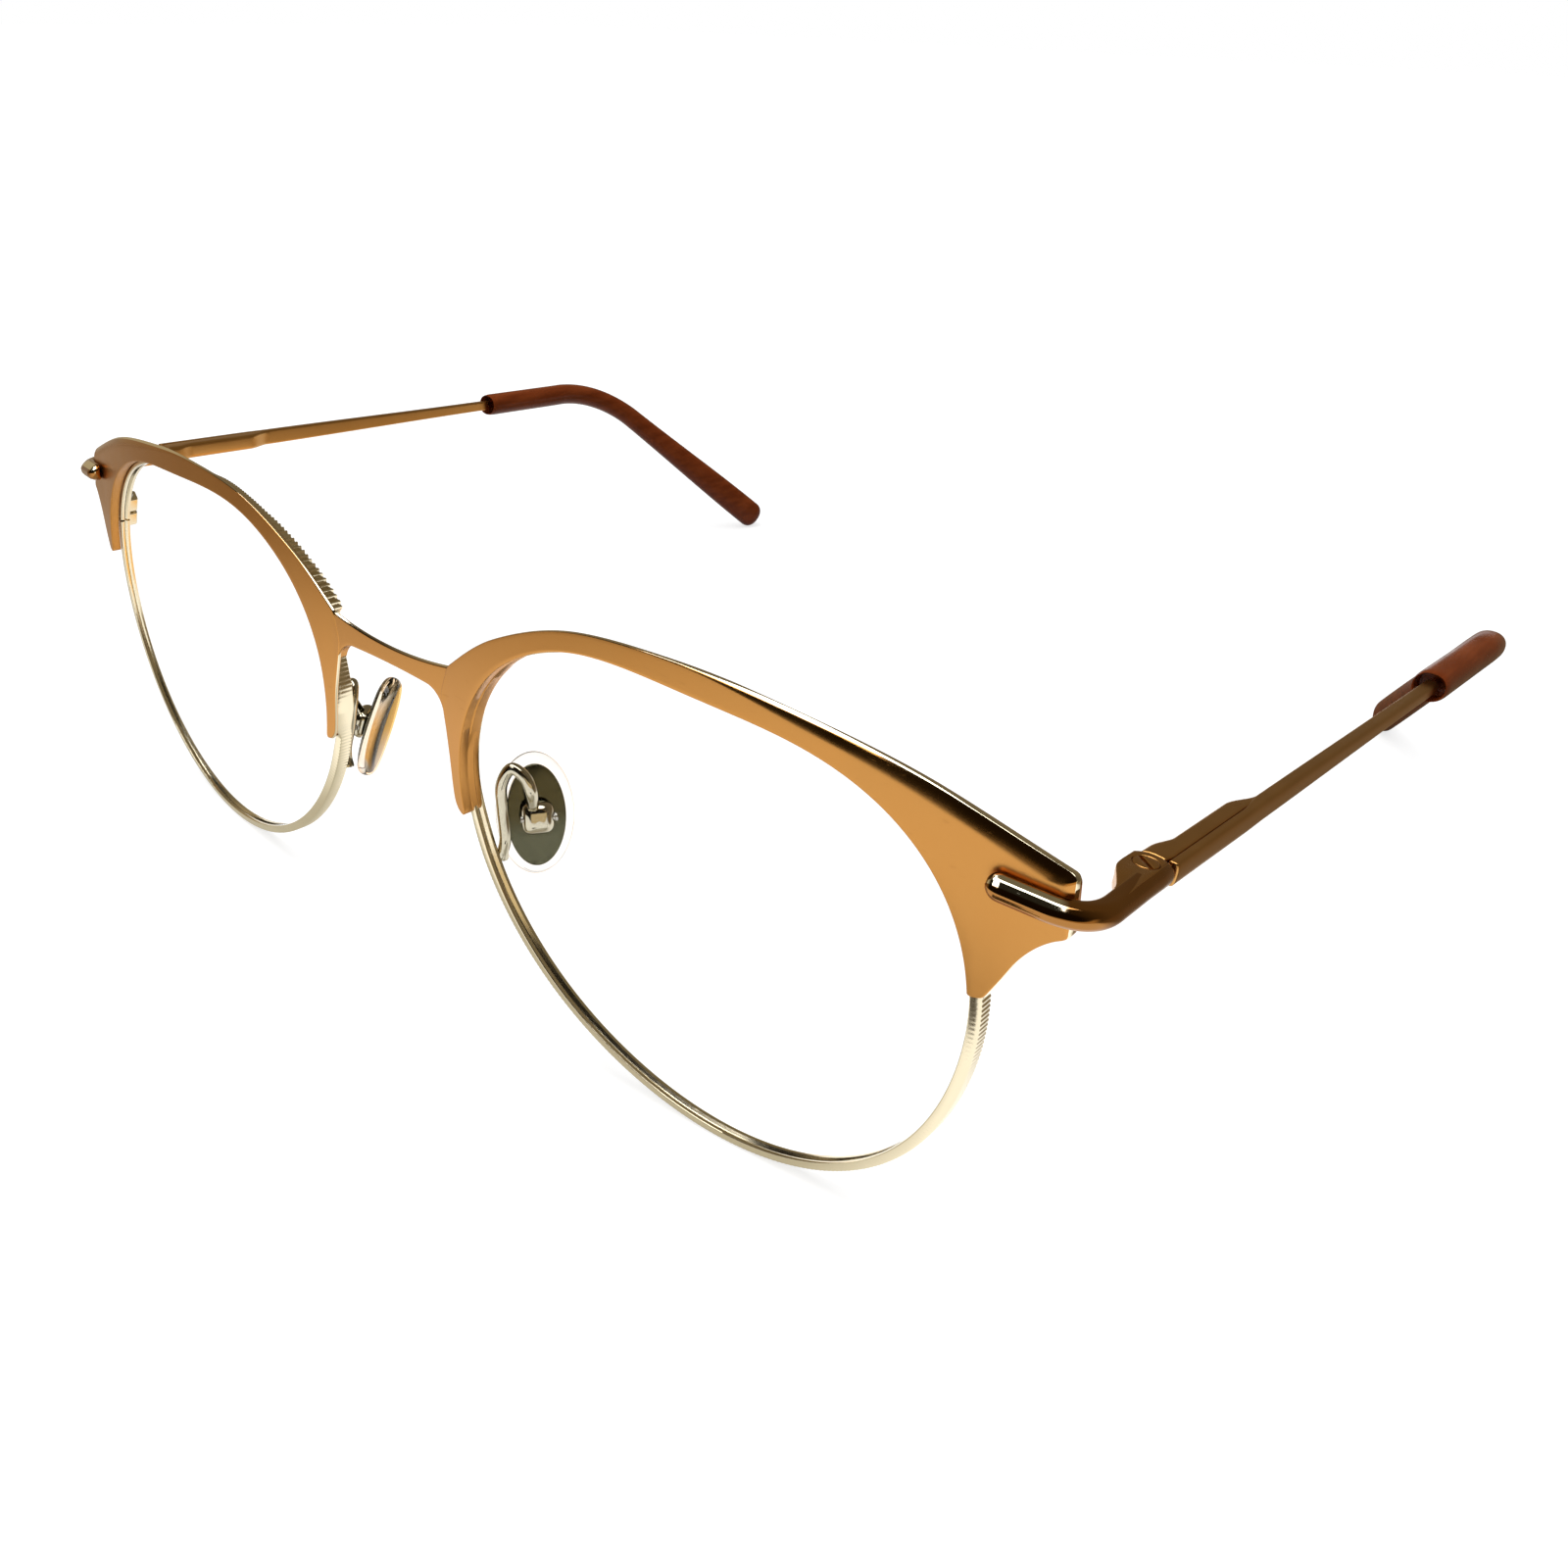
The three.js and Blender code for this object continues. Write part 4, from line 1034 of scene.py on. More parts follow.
    def bridge(self) -> Shell:
        """Strip from brow to brow: top edge sags and lower edge arches as 1 - (x / crease)^2."""
        crease = EYE.crease()
        reach = crease + self.root
        x = np.linspace(-reach, reach, self.bridge_steps)
        dip = np.maximum(0, 1 - (x / crease) ** 2)
        corner = EYE.at_degrees(*EYE.bridge_low)
        back, most = (self.fillet * share for share in self.fillet_run)
        near = np.clip(np.abs(x) - (corner[0] - back), 0, most)
        fall = self.fillet - np.sqrt(self.fillet**2 - near**2)
        low = corner[1] + self.arch * dip - fall
        high = EYE.at_degrees(*EYE.bridge_high)[1] - self.sag * dip
        edges = [points_of(x, z) for z in (low, high)]
        shoulder, thin = np.full(len(x), self.shoulder_nose), np.full(len(x), self.thin)
        return self.strip(*edges, shoulder, thin, 0 * x, self.sheet / 2 - self.bridge_inset)

    def build(self, shop: Workshop) -> None:
        """Makes the sheet as one piece: a brow, its mirror image and the bridge."""
        brow = self.brow()
        other = brow.moved(brow.points * [-1, 1, 1])
        shop.piece("brow_sheet", [brow, self.bridge(), other], SATIN_GOLD, "front", ["brow_front"])


@dataclass
class EyeWire:
    """Rim with milled outer face, lens, and the lock that closes the rim's split."""

    outer_half: float = 0.42
    inner_half: float = 0.56
    front: float = 0.7
    deep: float = 1.5
    groove_deep: float = 0.3
    groove_wide: float = 0.7
    edge: float = 0.12
    ridge: float = 0.05
    ridge_pitch: float = 0.45
    tooth: float = 0.3
    tooth_pitch: float = 0.55
    tooth_from: float = 0.02
    ridge_edge: float = 0.6
    slim: Run = (126, 145, 173, 187)
    slim_by: float = 0.4
    slim_inside: float = 0.4
    rim_steps: int = 2000
    lip: Run = (104, 128, 152, 156)
    leg_lip: Run = (158, 174, 177, 182)
    lip_line: Points = (
        (104, 0.5), (127, 1.0), (135, 1.5), (142, 2.2), (152, 3.7), (156, 2.4), (160, 0.7),
        (168, 1.0), (174, 0.95), (180, 0.5),
    )
    lip_below: float = 0.06
    lip_front: float = 0.95
    lip_back: float = 1.1
    leg_lip_back: float = 0.3
    lens_edge: float = -0.5
    lens_half: float = 0.7
    lens_middle: float = 0.03
    lens_rings: int = 18
    lens_steps: int = 160
    lens_grow: float = 0.15
    seat: float = 0.1
    lock: float = math.radians(22)
    lock_out: float = 0.5
    lock_split: float = 0.3
    block: Triple = (1.8, 2.6, 1.9)
    block_start: float = 1.1
    block_corner: float = 0.3
    block_bevel: float = 0.18
    screw: float = 0.45
    head: float = 0.8
    head_tall: float = 0.5
    slot: float = 0.25
    screw_lift: float = 0.05
    screw_short: float = 0.1

    def rim(self) -> Shell:
        """Wire round the eye, open at the lock, with a milled lip behind the brow's nasal arc.

        Returns:
            The skin. The outer face dips by ridge * sin^2 of the distance along the rim over
            the pitch, which leaves fine ribs across it. Along the lip it stands out to the
            brow's edge and the ribs grow to teeth.
        """
        gap = self.lock_split / 2 / float(EYE.spread(np.array(self.lock)))
        angle = np.linspace(self.lock + gap, self.lock + 2 * np.pi - gap, self.rim_steps)
        middle = EYE.line(angle)
        along = distances(middle)
        h, i, e = self.outer_half, self.inner_half, self.edge
        degrees = np.degrees(angle)
        lip, leg, slim = (stretch(degrees, run) for run in (self.lip, self.leg_lip, self.slim))
        edge_line = np.interp(degrees, *np.array(self.lip_line).T)
        proud = (lip + leg) * np.maximum(edge_line - self.lip_below - h, 0)
        pitch = np.where(lip > self.tooth_from, self.tooth_pitch, self.ridge_pitch)
        tall = (self.ridge + (self.tooth - self.ridge) * lip) * (1 - leg)
        dip = tall * np.sin(np.pi * along / pitch) ** 2
        back, mid = self.front + self.deep, self.front + self.deep / 2
        s, c = arc(4)
        outer_front = points_of(h - e * (1 - s), self.front + e * (1 - c))
        outer_back = points_of(h - e * (1 - c), back - e * (1 - s))
        inner_back = points_of(-i + e * (1 - s), back - e * (1 - c))
        inner_front = points_of(-i + e * (1 - c), self.front + e * (1 - s))
        groove = [
            (-i, mid + self.groove_wide / 2),
            (-i + self.groove_deep, mid),
            (-i, mid - self.groove_wide / 2),
        ]
        section = np.vstack([outer_front, outer_back, inner_back, groove, inner_front])
        outside = ease(section[:, 0], 0, h - self.ridge_edge * e)
        inside = ease(-section[:, 0], 0, i - self.slim_inside)
        out = section[None, :, 0] + (proud - dip)[:, None] * outside[None]
        out = out + (self.slim_by * slim)[:, None] * inside[None]
        flat = middle[:, None] + EYE.outward(angle)[:, None] * out[..., None]
        deep = np.repeat(section[None, :, 1], len(angle), axis=0)
        front, rear = len(outer_front), len(outer_front) + len(outer_back)
        deep[:, :front] -= (self.lip_front * (lip + leg))[:, None]
        deep[:, front:rear] -= (self.lip_back * lip + self.leg_lip_back * leg)[:, None]
        return skin(EYE.on_front(flat, deep), polish=0.5)

    def lens(self) -> Shell:
        """Dome on the front surface, larger along the rim's slim run.

        Returns:
            The skin. Its rings are the edge shrunk by a share k to the eye's middle, and its
            thickness eases from the middle to the ridge that sits in the rim's groove.
        """
        turn = np.linspace(0, 2 * np.pi, self.lens_steps, endpoint=False)
        middle = np.array([EYE.centre, 0])
        edge = self.lens_edge - self.seat
        ridge = edge + self.groove_deep - self.seat / 2
        bevel = self.groove_wide / 2 - self.seat / 2
        share = np.linspace(self.lens_middle, 1, self.lens_rings)
        thick = self.lens_half + (bevel - self.lens_half) * ease(share, 0.5, 1)
        plan = [(k, edge, -t) for k, t in zip(share, thick)]
        plan += [(1, ridge, 0)]
        plan += [(k, edge, t) for k, t in zip(share[::-1], thick[::-1])]
        centre_depth = self.front + self.deep / 2
        grown = self.lens_grow * stretch(np.degrees(turn), self.slim)
        rings = [
            EYE.on_front(middle + (EYE.at(turn, offset + grown) - middle) * k, centre_depth + depth)
            for k, offset, depth in plan
        ]
        return skin(np.stack(rings))

    def on_rim(self, shell: Shell) -> Shell:
        """Sets a skin drawn with x out, y deep and z along the rim onto the rim at the lock."""
        turn = np.array(self.lock)
        out, foot = EYE.outward(turn), EYE.at(turn, self.lock_out + self.seat)
        x, y, z = shell.points.T
        across = foot[0] + x * out[0] - z * out[1]
        up = foot[1] + x * out[1] + z * out[0]
        return shell.moved(points_of(across, EYE.depth(across, up) + y, up))

    def lock_block(self, low: float, high: float) -> list[Shell]:
        """Round-edged block between two heights along the rim."""
        out, deep, _ = self.block
        outline = round_oblong(out / 2, deep / 2, self.block_corner)
        shell = prism(outline, low, high, self.block_bevel)
        return [self.on_rim(shell.shifted([out / 2, self.block_start + deep / 2, 0]))]

    def lock_screw(self) -> list[Shell]:
        """Shank through both blocks, with a slotted head on the upper one."""
        out, deep, tall = self.block
        top = self.lock_split / 2 + tall + self.screw_lift
        foot = -top + self.screw_short
        shells = slotted_screw(self.screw, self.head, self.slot, foot, top, self.head_tall)
        middle = [out / 2, self.block_start + deep / 2, 0]
        return [self.on_rim(shell.shifted(middle)) for shell in shells]

    def build(self, shop: Workshop, side: Side) -> None:
        """Makes the rim, the lens and the lock on one side."""
        shop.sided(side, "rim_wire", [self.rim()], SILVER, "front", "rim")
        glass = shop.sided(side, "lens_glass", [self.lens()], LENS_CLEAR, "front", "lens")
        glass.visible_shadow = False
        half, tall = self.lock_split / 2, self.block[2]
        for word, low in (("upper", half), ("lower", -half - tall)):
            block = self.lock_block(low, low + tall)
            name, stands_for = f"lock_block_{word}", f"rim_lock_{word}_block"
            shop.sided(side, name, block, SILVER, "front", stands_for)
        shop.sided(side, "lock_bolt", self.lock_screw(), STEEL, "front", "rim_lock_screw")


SLOT_FLOOR = 0.45
HEAD_BEVEL = 0.08
HEAD_BEVEL_SHARE = 0.2
SHANK_BEVEL_SHARE = 0.3


def slotted_screw(
    shank: float, head: float, slot: float, foot: float, seat: float, tall: float
) -> list[Shell]:
    """Screw along z: a shank, and a head of one disc and two half moons with the slot between.

    Args:
        shank: radius of the shank.
        head: radius of the head.
        slot: width of the slot.
        foot: height of the shank's end.
        seat: height of the head's underside.
        tall: height of the head.

    Returns:
        The skins.
    """
    floor = seat + tall * SLOT_FLOOR
    bevel = min(HEAD_BEVEL, tall * HEAD_BEVEL_SHARE)
    moon = half_moon(head, slot / 2)
    return [
        prism(circle(shank), foot, floor, shank * SHANK_BEVEL_SHARE),
        prism(circle(head), seat, floor, bevel),
        prism(moon, floor - bevel, seat + tall, bevel),
        prism(moon * [-1, -1], floor - bevel, seat + tall, bevel),
    ]


@dataclass
class NosePad:
    """Soft pad on its core plate, the cup and pin that hold it, and the hairpin wire."""

    length: float = 12.4
    width: float = 7.9
    thick: float = 2.0
    edge: float = 0.95
    edge_steps: int = 10
    oval_points: int = 72
    out: float = 1.9
    behind: float = 7.3
    down: float = 2.2
    splay: float = math.radians(35)
    flare: float = 0.25
    lean: float = 0.1
    core_length: float = 10.3
    core_width: float = 5.9
    core_thick: float = 0.6
    core_bevel: float = 0.12
    tab: Span = (1.0, 1.8)
    tab_corner: float = 0.2
    tab_bevel: float = 0.1
    tab_foot: float = 0.7
    tab_root: float = 0.2
    cup_wide: float = 3.3
    cup_wall: float = 0.5
    cup_deep: float = 1.4
    cup_round: float = 1.15
    cup_lip: float = 0.3
    cup_bevel: float = 0.06
    cup_draft: float = 0.1
    cup_floor: float = 0.5
    cup_square: float = 3.6
    cup_points: int = 48
    rock_gap: float = 0.42
    seat: float = 0.1
    pin: float = 0.35
    pin_head: float = 0.12
    pin_head_half: float = 0.15
    pin_bevel: float = 0.08
    pin_head_bevel: float = 0.1
    pin_reach: float = 0.1
    pin_points: int = 28
    wire: float = 1.2
    wire_root: float = 193
    rim_back: float = 2.1
    wire_swell: float = 0.25
    wire_swell_run: float = 0.06
    wire_sunk: float = 0.5
    wire_steps: int = 220
    wire_points: int = 20
    wire_ends: Points = ((0.55, 1.9, -0.1), (0.5, 1.3, 0.5))
    hairpin: Points = (
        (3.4, -1.8, -2.3), (3.5, 1.4, -2.5), (3.5, 3.9, -2.9), (2.5, 5.5, -3.5), (1.3, 4.6, -4.0),
        (0.8, 3.2, -4.0),
    )

    def axes(self) -> tuple[Array, Array]:
        """Pad frame: rows across, along and towards the nose, and its middle."""
        along = unit(np.array([-self.flare, self.lean, 1.0]))
        nose = np.array([-math.cos(self.splay), math.sin(self.splay), 0.0])
        nose = unit(nose - along * (nose @ along))
        rim = EYE.line(np.array(math.pi))[0]
        deep = EYE.depth(np.array(rim), np.array(-self.down)) + self.behind
        middle = np.array([rim + self.out, deep, -self.down])
        return np.stack([np.cross(along, nose), along, nose]), middle

    def set_in(self, shell: Shell) -> Shell:
        """Moves a skin from the pad's frame to the worn frame."""
        rows, middle = self.axes()
        return shell.moved(shell.points @ rows + middle)

    def levels(self) -> tuple[float, float, float]:
        """Heights, in the pad's frame, of the core's back, the cup's mouth and the cup's back."""
        core = -self.thick / 2 - self.seat
        mouth = core - self.rock_gap
        return core, mouth, mouth - self.cup_deep

    def cushion(self) -> Shell:
        """Oval cushion with a round edge."""
        oval = bulged(self.oval_points) * [self.width / 2, self.length / 2]
        return prism(oval, -self.thick / 2, self.thick / 2, self.edge, self.edge_steps)

    def core(self) -> list[Shell]:
        """Oval plate with a tab on its back, the tab reaching into the cup."""
        back, _, foot = self.levels()
        oval = bulged(self.oval_points) * [self.core_width / 2, self.core_length / 2]
        plate = prism(oval, back, back + self.core_thick, self.core_bevel)
        outline = round_oblong(self.tab[0] / 2, self.tab[1] / 2, self.tab_corner)
        tab = prism(outline, foot + self.tab_foot, back + self.tab_root, self.tab_bevel)
        return [plate, tab]

    def cup(self) -> list[Shell]:
        """Pillow-backed cup: a block with a wide bevel on its back, hollow towards the pad."""
        _, mouth, foot = self.levels()
        x = self.cup_wide / 2
        y = self.tab[1] / 2 + 3 * self.seat + self.cup_wall
        s, c = arc(8)
        wall, bend = self.cup_lip, self.cup_round
        plan = [(bend * (1 - ss), foot + bend * (1 - cc)) for ss, cc in zip(s, c)]
        plan += [(self.cup_bevel, mouth), (wall, mouth)]
        plan += [(wall + self.cup_draft, foot + self.cup_floor)]
        rings = []
        square = bulged(self.cup_points, self.cup_square, self.cup_square)
        for inset, level in plan:
            outline = square * [x - inset, y - inset]
            rings.append(np.column_stack([outline, np.full(len(outline), level)]))
        return [skin(np.stack(rings))]

    def pin_bar(self) -> list[Shell]:
        """Pin across the cup, with a round head on the side away from the rim."""
        _, mouth, _ = self.levels()
        reach = self.cup_wide / 2 + self.pin_reach
        middle = mouth - self.cup_deep / 2 + self.cup_wall / 4
        half, bevel, count = self.pin_head_half, self.pin_head_bevel, self.pin_points
        shells = [
            prism(circle(self.pin, count), -reach, reach, self.pin_bevel),
            prism(circle(self.pin + self.pin_head, count), -reach - half, -reach + half, bevel),
        ]
        turned = []
        for shell in shells:
            x, y, z = shell.points.T
            turned.append(shell.moved(points_of(z, y, middle - x)))
        return turned

    def hairpin_wire(self) -> Shell:
        """Round wire along a curve from the rim's back, over the loop, to the cup's back.

        Returns:
            The skin. The section's axes are the curve's tangent crossed with the normal of
            the plane that fits the curve best.
        """
        rows, middle = self.axes()
        _, _, foot = self.levels()
        root = EYE.on_front(EYE.at_degrees(self.wire_root, 0), self.rim_back + self.wire_sunk)
        ends = [(x, y, foot + z) for x, y, z in self.wire_ends]
        bent = np.array([*self.hairpin, *ends]) @ rows + middle
        path = wire_spline(np.vstack([root, bent]), self.wire_steps)
        ahead = headings(path)
        flat = np.linalg.svd(path - path.mean(axis=0))[2][2]
        across = unit(np.cross(ahead, flat))
        place = np.linspace(0, 1, len(path))
        grow = 1 + self.wire_swell * ease(-place, -self.wire_swell_run, 0)
        section = bulged(self.wire_points)[None] * (self.wire / 2 * grow)[:, None, None]
        return skin(carried(path, across, np.cross(ahead, across), section), polish=1.0)

    def build(self, shop: Workshop, side: Side) -> None:
        """Makes the pad, its plate, cup, pin and wire on one side."""
        table = [
            ("pad_cushion", [self.cushion()], SILICONE, "pad", "nose_pad"),
            ("pad_plate", self.core(), SHADE_PAINTED_PLATE, "pad", "pad_core"),
            ("pad_cup", self.cup(), BRIGHT_SILVER, "front", "pad_box"),
            ("pad_pin", self.pin_bar(), STEEL, "front", "pad_screw"),
        ]
        for name, shells, finish, body, stands_for in table:
            placed = [self.set_in(shell) for shell in shells]
            shop.sided(side, name, placed, finish, body, stands_for)
        wire = [self.hairpin_wire()]
        shop.sided(side, "pad_hairpin", wire, BRIGHT_SILVER, "front", "pad_arm")


@dataclass
class Temple:
    """End bar, spring hinge, temple bar and ear tip of one side."""

    splay: float = math.radians(3)
    droop: float = math.radians(0.7)
    setback: float = 8.4
    height: float = 14.6
    bar_length: float = 5.8
    bar_rise: float = 0.8
    bar_deep: float = 1.7
    bar_wide: float = 1.8
    bar_tall: float = 2.05
    bar_outline: Points = (
        (1, -0.02), (0.95, 0.1), (0.7, 0.4), (0.28, 0.75), (-0.29, 0.98), (-0.7, 1), (-1, 0.83),
        (-1, -0.83), (-0.7, -1), (0, -0.97), (0.6, -0.78), (0.92, -0.45),
    )
    bar_nose: float = 1.1
    bar_least: float = 0.04
    bar_play: float = 2.5
    bar_points: int = 96
    bar_steps: tuple[int, int, int] = (60, 26, 12)
    bar_bright: float = 0.86
    bar_dulled: float = 0.85
    bar_crown: Run = (28, 34, 100, 108)
    bar_cover: tuple[float, ...] = (0.0, 0.5, 0.94, 1.0)
    bar_end: float = 0.93
    bar_side: Span = (2.1, 5.0)
    bar_turn_late: float = 0.9
    bar_dull_run: Span = (1.8, 0.4)
    bar_glint_run: Span = (0.6, 2.0)
    clearance: float = 0.45
    turn: float = 3.3
    sheet: float = BrowFront.sheet
    sheet_gap: float = 0.1
    knuckle: float = 1.05
    web: float = 0.65
    seat: float = 0.1
    split: float = 1.4
    split_gap: float = 0.36
    ear_reach: Span = (1.42, 1.2)
    ear_round: float = 1.68
    ear_sweep: Points = (
        (0, 1), (-1.0, 1), (-2.0, 0.92), (-2.9, 0.63), (-3.7, 0.32), (-4.6, 0.0), (-5.6, -0.2),
    )
    ear_low: float = 0.8
    ear_bevel: float = 0.1
    ear_side: float = 0.6
    ear_play: float = 0.05
    ear_sunk: float = 0.25
    ear_sink_run: Span = (3.0, 5.6)
    ear_steps: tuple[int, int, int] = (60, 30, 40)
    ear_level: float = 0.01
    ear_bore: float = 0.03
    fork_gap: float = 0.15
    fork_hollow: float = 0.04
    fork_bevel: float = 0.02
    tongue_tall: float = 0.66
    tongue_wide: float = 0.6
    tongue_bevel: float = 0.06
    neck_start: float = 0.35
    neck_corner: float = 0.1
    eye_points: int = 48
    screw: float = 0.4
    head: float = 0.98
    head_tall: float = 0.5
    slot: float = 0.3
    slot_turn: float = math.radians(-38)
    rod: float = 0.22
    rod_start: float = 2.68
    rod_length: float = 11.4
    rod_head: Span = (0.42, 0.8)
    rod_root: float = 0.1
    rod_bevel: float = 0.04
    rod_points: int = 24
    coil: Span = (4.7, 13.08)
    coil_radius: float = 0.36
    coil_wire: float = 0.1
    coil_turns: int = 12
    coil_steps: int = 28
    coil_points: int = 10
    coil_keep: float = 0.88
    case_inner: float = -0.55
    case_nose: float = -1.2
    case_nose_run: Span = (3.0, 5.8)
    case_drawn: float = 0.2
    case_drawn_run: float = 1.2
    case_gap: float = 0.02
    case_hollow_run: float = 2.5
    case_hollow_least: float = 0.5
    case_lead: Points = (
        (0, 0.14, 0.05), (0, 0.14, 0.4), (0, 0.14, 0.75), (0, 0.14, 1), (0.03, 0.07, 1),
        (0.08, 0.025, 1), (0.16, 0, 1),
    )
    case_square: Span = (9.0, 5.0)
    case_rings: int = 90
    case_tall: float = 2.0
    case_length: float = 17.2
    case_ramp: float = 4.0
    case_end: Span = (-0.05, 0.6)
    case_end_run: Span = (0.3, 0.9)
    case_end_slim: float = 0.06
    lead_end: float = 0.4
    flat_points: int = 40
    arm_thick: float = 0.85
    arm_inner: float = 0.55
    arm_tall: float = 2.0
    arm_end_tall: float = 1.4
    arm_length: float = 61.6
    arm_taper_from: float = 14.0
    arm_lead: Points = ((0, 0.1), (0.025, 0.05), (0.06, 0.02), (0.11, 0))
    arm_square: Span = (2.8, 9.0)
    arm_rings: int = 120
    arm_sunk: float = 0.5
    core_wire: Span = (0.4, 0.55)
    core_end: int = 160
    core_every: int = 4
    core_points: int = 16
    tip_straight: float = 16.5
    tip_radius: float = 32.0
    tip_bend: float = math.radians(34.5)
    tip_inward: float = math.radians(25)
    tip_tail: float = 35.0
    tip_tall: float = 3.5
    tip_thick: float = 3.7
    tip_end_tall: float = 5.2
    tip_end_thick: float = 3.5
    tip_shift: float = 0.36
    tip_swell: float = 0.45
    tip_cap: float = 2.2
    tip_cap_round: float = 2.4
    tip_cap_start: float = 0.1
    tip_cap_rings: int = 16
    tip_cap_least: float = 0.02
    tip_steps: int = 26
    tip_between: int = 8
    tip_section: int = 36
    tip_square: float = 2.2
    tip_lip: tuple[float, ...] = (0.93, 0.97, 0.99, 1.0)
    mouth_deep: tuple[float, ...] = (1.9, 1.8, 0.6, 0.05)
    mouth_wide: tuple[float, ...] = (0.4, 0.78, 0.84, 0.88)
    inside_box: float = 0.948

    def hinge(self) -> Array:
        """The hinge screw's middle."""
        wing = EYE.wing()
        deep = EYE.depth(np.array(wing), np.array(self.height)) + self.setback
        x = wing + self.clearance + self.setback * math.tan(self.splay)
        return np.array([x, deep, self.height])

    def rows(self, droop: float) -> Array:
        """Rows of the turn from the hinge's frame: droop about X, then splay about Z."""
        c, s = math.cos(-self.splay), math.sin(-self.splay)
        e, f = math.cos(-droop), math.sin(-droop)
        about_z = np.array([[c, -s, 0], [s, c, 0], [0, 0, 1]])
        about_x = np.array([[1, 0, 0], [0, e, -f], [0, f, e]])
        return (about_z @ about_x).T

    def set_in(self, shell: Shell) -> Shell:
        """Moves a skin from the hinge's frame to the worn frame."""
        return shell.moved(shell.points @ self.rows(self.droop) + self.hinge())

    def front_of_temple(self) -> float:
        """Y of the temple's front end in the hinge's frame."""
        return self.split + self.split_gap

    def end_bar(self) -> Shell:
        """Round-fronted bar along the wing, round its end and back beside the knuckles.

        Returns:
            The skin. The path is a line, a quadratic Bezier bend and a line. The inner end is
            a quarter ellipse of the section's size, and beside the knuckles the section is
            cut off on the inside. The polish is highest on the crown before the bend and
            falls to satin behind it; on that crown it reaches the range where a highlight is
            painted into the colour.
        """
        wing = EYE.wing()
        front = -self.sheet / 2 - self.sheet_gap - self.bar_deep / 2
        rows = self.rows(0.0)
        inner_end = [wing - self.bar_length, self.height + self.bar_rise]
        start, level = EYE.on_front(np.array([inner_end, [wing, self.height]]), front)
        sideways, back = unit(level - start), rows[1]
        back_y = -(self.knuckle + self.web + self.bar_play * self.seat)
        near = np.array([self.bar_wide / 2, back_y, 0]) @ rows + self.hinge()
        apart = near - start
        turned_by = sideways[0] * back[1] - sideways[1] * back[0]
        reach = (apart[0] * back[1] - apart[1] * back[0]) / turned_by
        corner = start + sideways * reach
        enter, leave = corner - sideways * self.turn, corner + back * self.turn
        line_steps, bend_steps, run_steps = self.bar_steps
        t = np.linspace(0, 1, bend_steps)[:, None]
        line = start + (enter - start) * both_ends(line_steps)[:, None]
        bend = (1 - t) ** 2 * enter + 2 * t * (1 - t) * corner + t * t * leave
        far = np.array([self.bar_wide / 2, self.split, 0]) @ rows + self.hinge()
        run = leave + (near - leave) * np.linspace(0, 1, run_steps)[1:, None]
        cover = near + (far - near) * np.array(self.bar_cover)[:, None]
        path = np.vstack([line[:-1], bend, run, cover])
        ahead = headings(path[: -len(cover)])
        ahead = np.vstack([ahead, np.repeat(back[None], len(cover), axis=0)])
        out = level_across(ahead)
        along = distances(path)
        bend_start, bend_end = along[len(line) - 1], along[len(line) + len(bend) - 2]
        nose = np.clip(along / self.bar_nose, 0, 1)
        size = np.maximum(np.sqrt(1 - (1 - nose) ** 2), self.bar_least)
        size[-1] = self.bar_end
        turned = ease(along, bend_start + self.bar_turn_late, bend_end)
        wide = self.bar_deep + (self.bar_wide - self.bar_deep) * turned
        shape = self.bar_shape()
        blend = turned[:, None, None]
        section = shape * (1 - blend) + bulged(len(shape), *self.bar_side) * blend
        half = points_of(wide / 2, np.full(len(path), self.bar_tall / 2))
        section = section * (half * size[:, None])[:, None]
        beside = section[-len(cover) :, :, 0]
        beside[:] = np.maximum(beside, self.knuckle - self.bar_wide / 2)
        up = np.broadcast_to([0.0, 0.0, 1.0], path.shape)
        late, past = self.bar_dull_run
        shine = 1 - self.bar_dulled * ease(along, bend_start + late, bend_end + past)
        # Painted highlight: before the bend the crown reaches full polish, where the finish paints in
        # its highlight colour.
        crown = stretch(np.degrees(np.arctan2(shape[:, 1], shape[:, 0])), self.bar_crown)
        painted_glint = 1 - ease(along - bend_start, *self.bar_glint_run)
        polish = self.bar_bright + (1 - self.bar_bright) * painted_glint[:, None] * crown
        return skin(carried(path, out, up, section), polish=shine[:, None] * polish)

    def bar_shape(self) -> Array:
        """Bar's section (n, 2) in halves: facets on top, resampled evenly, corners averaged."""
        loop = np.array([*self.bar_outline, self.bar_outline[0]])
        along = distances(loop)
        even = np.linspace(0, along[-1], self.bar_points, endpoint=False)
        ring = np.stack([np.interp(even, along, loop[:, k]) for k in (0, 1)], axis=1)
        return (np.roll(ring, 1, axis=0) + ring + np.roll(ring, -1, axis=0)) / 3

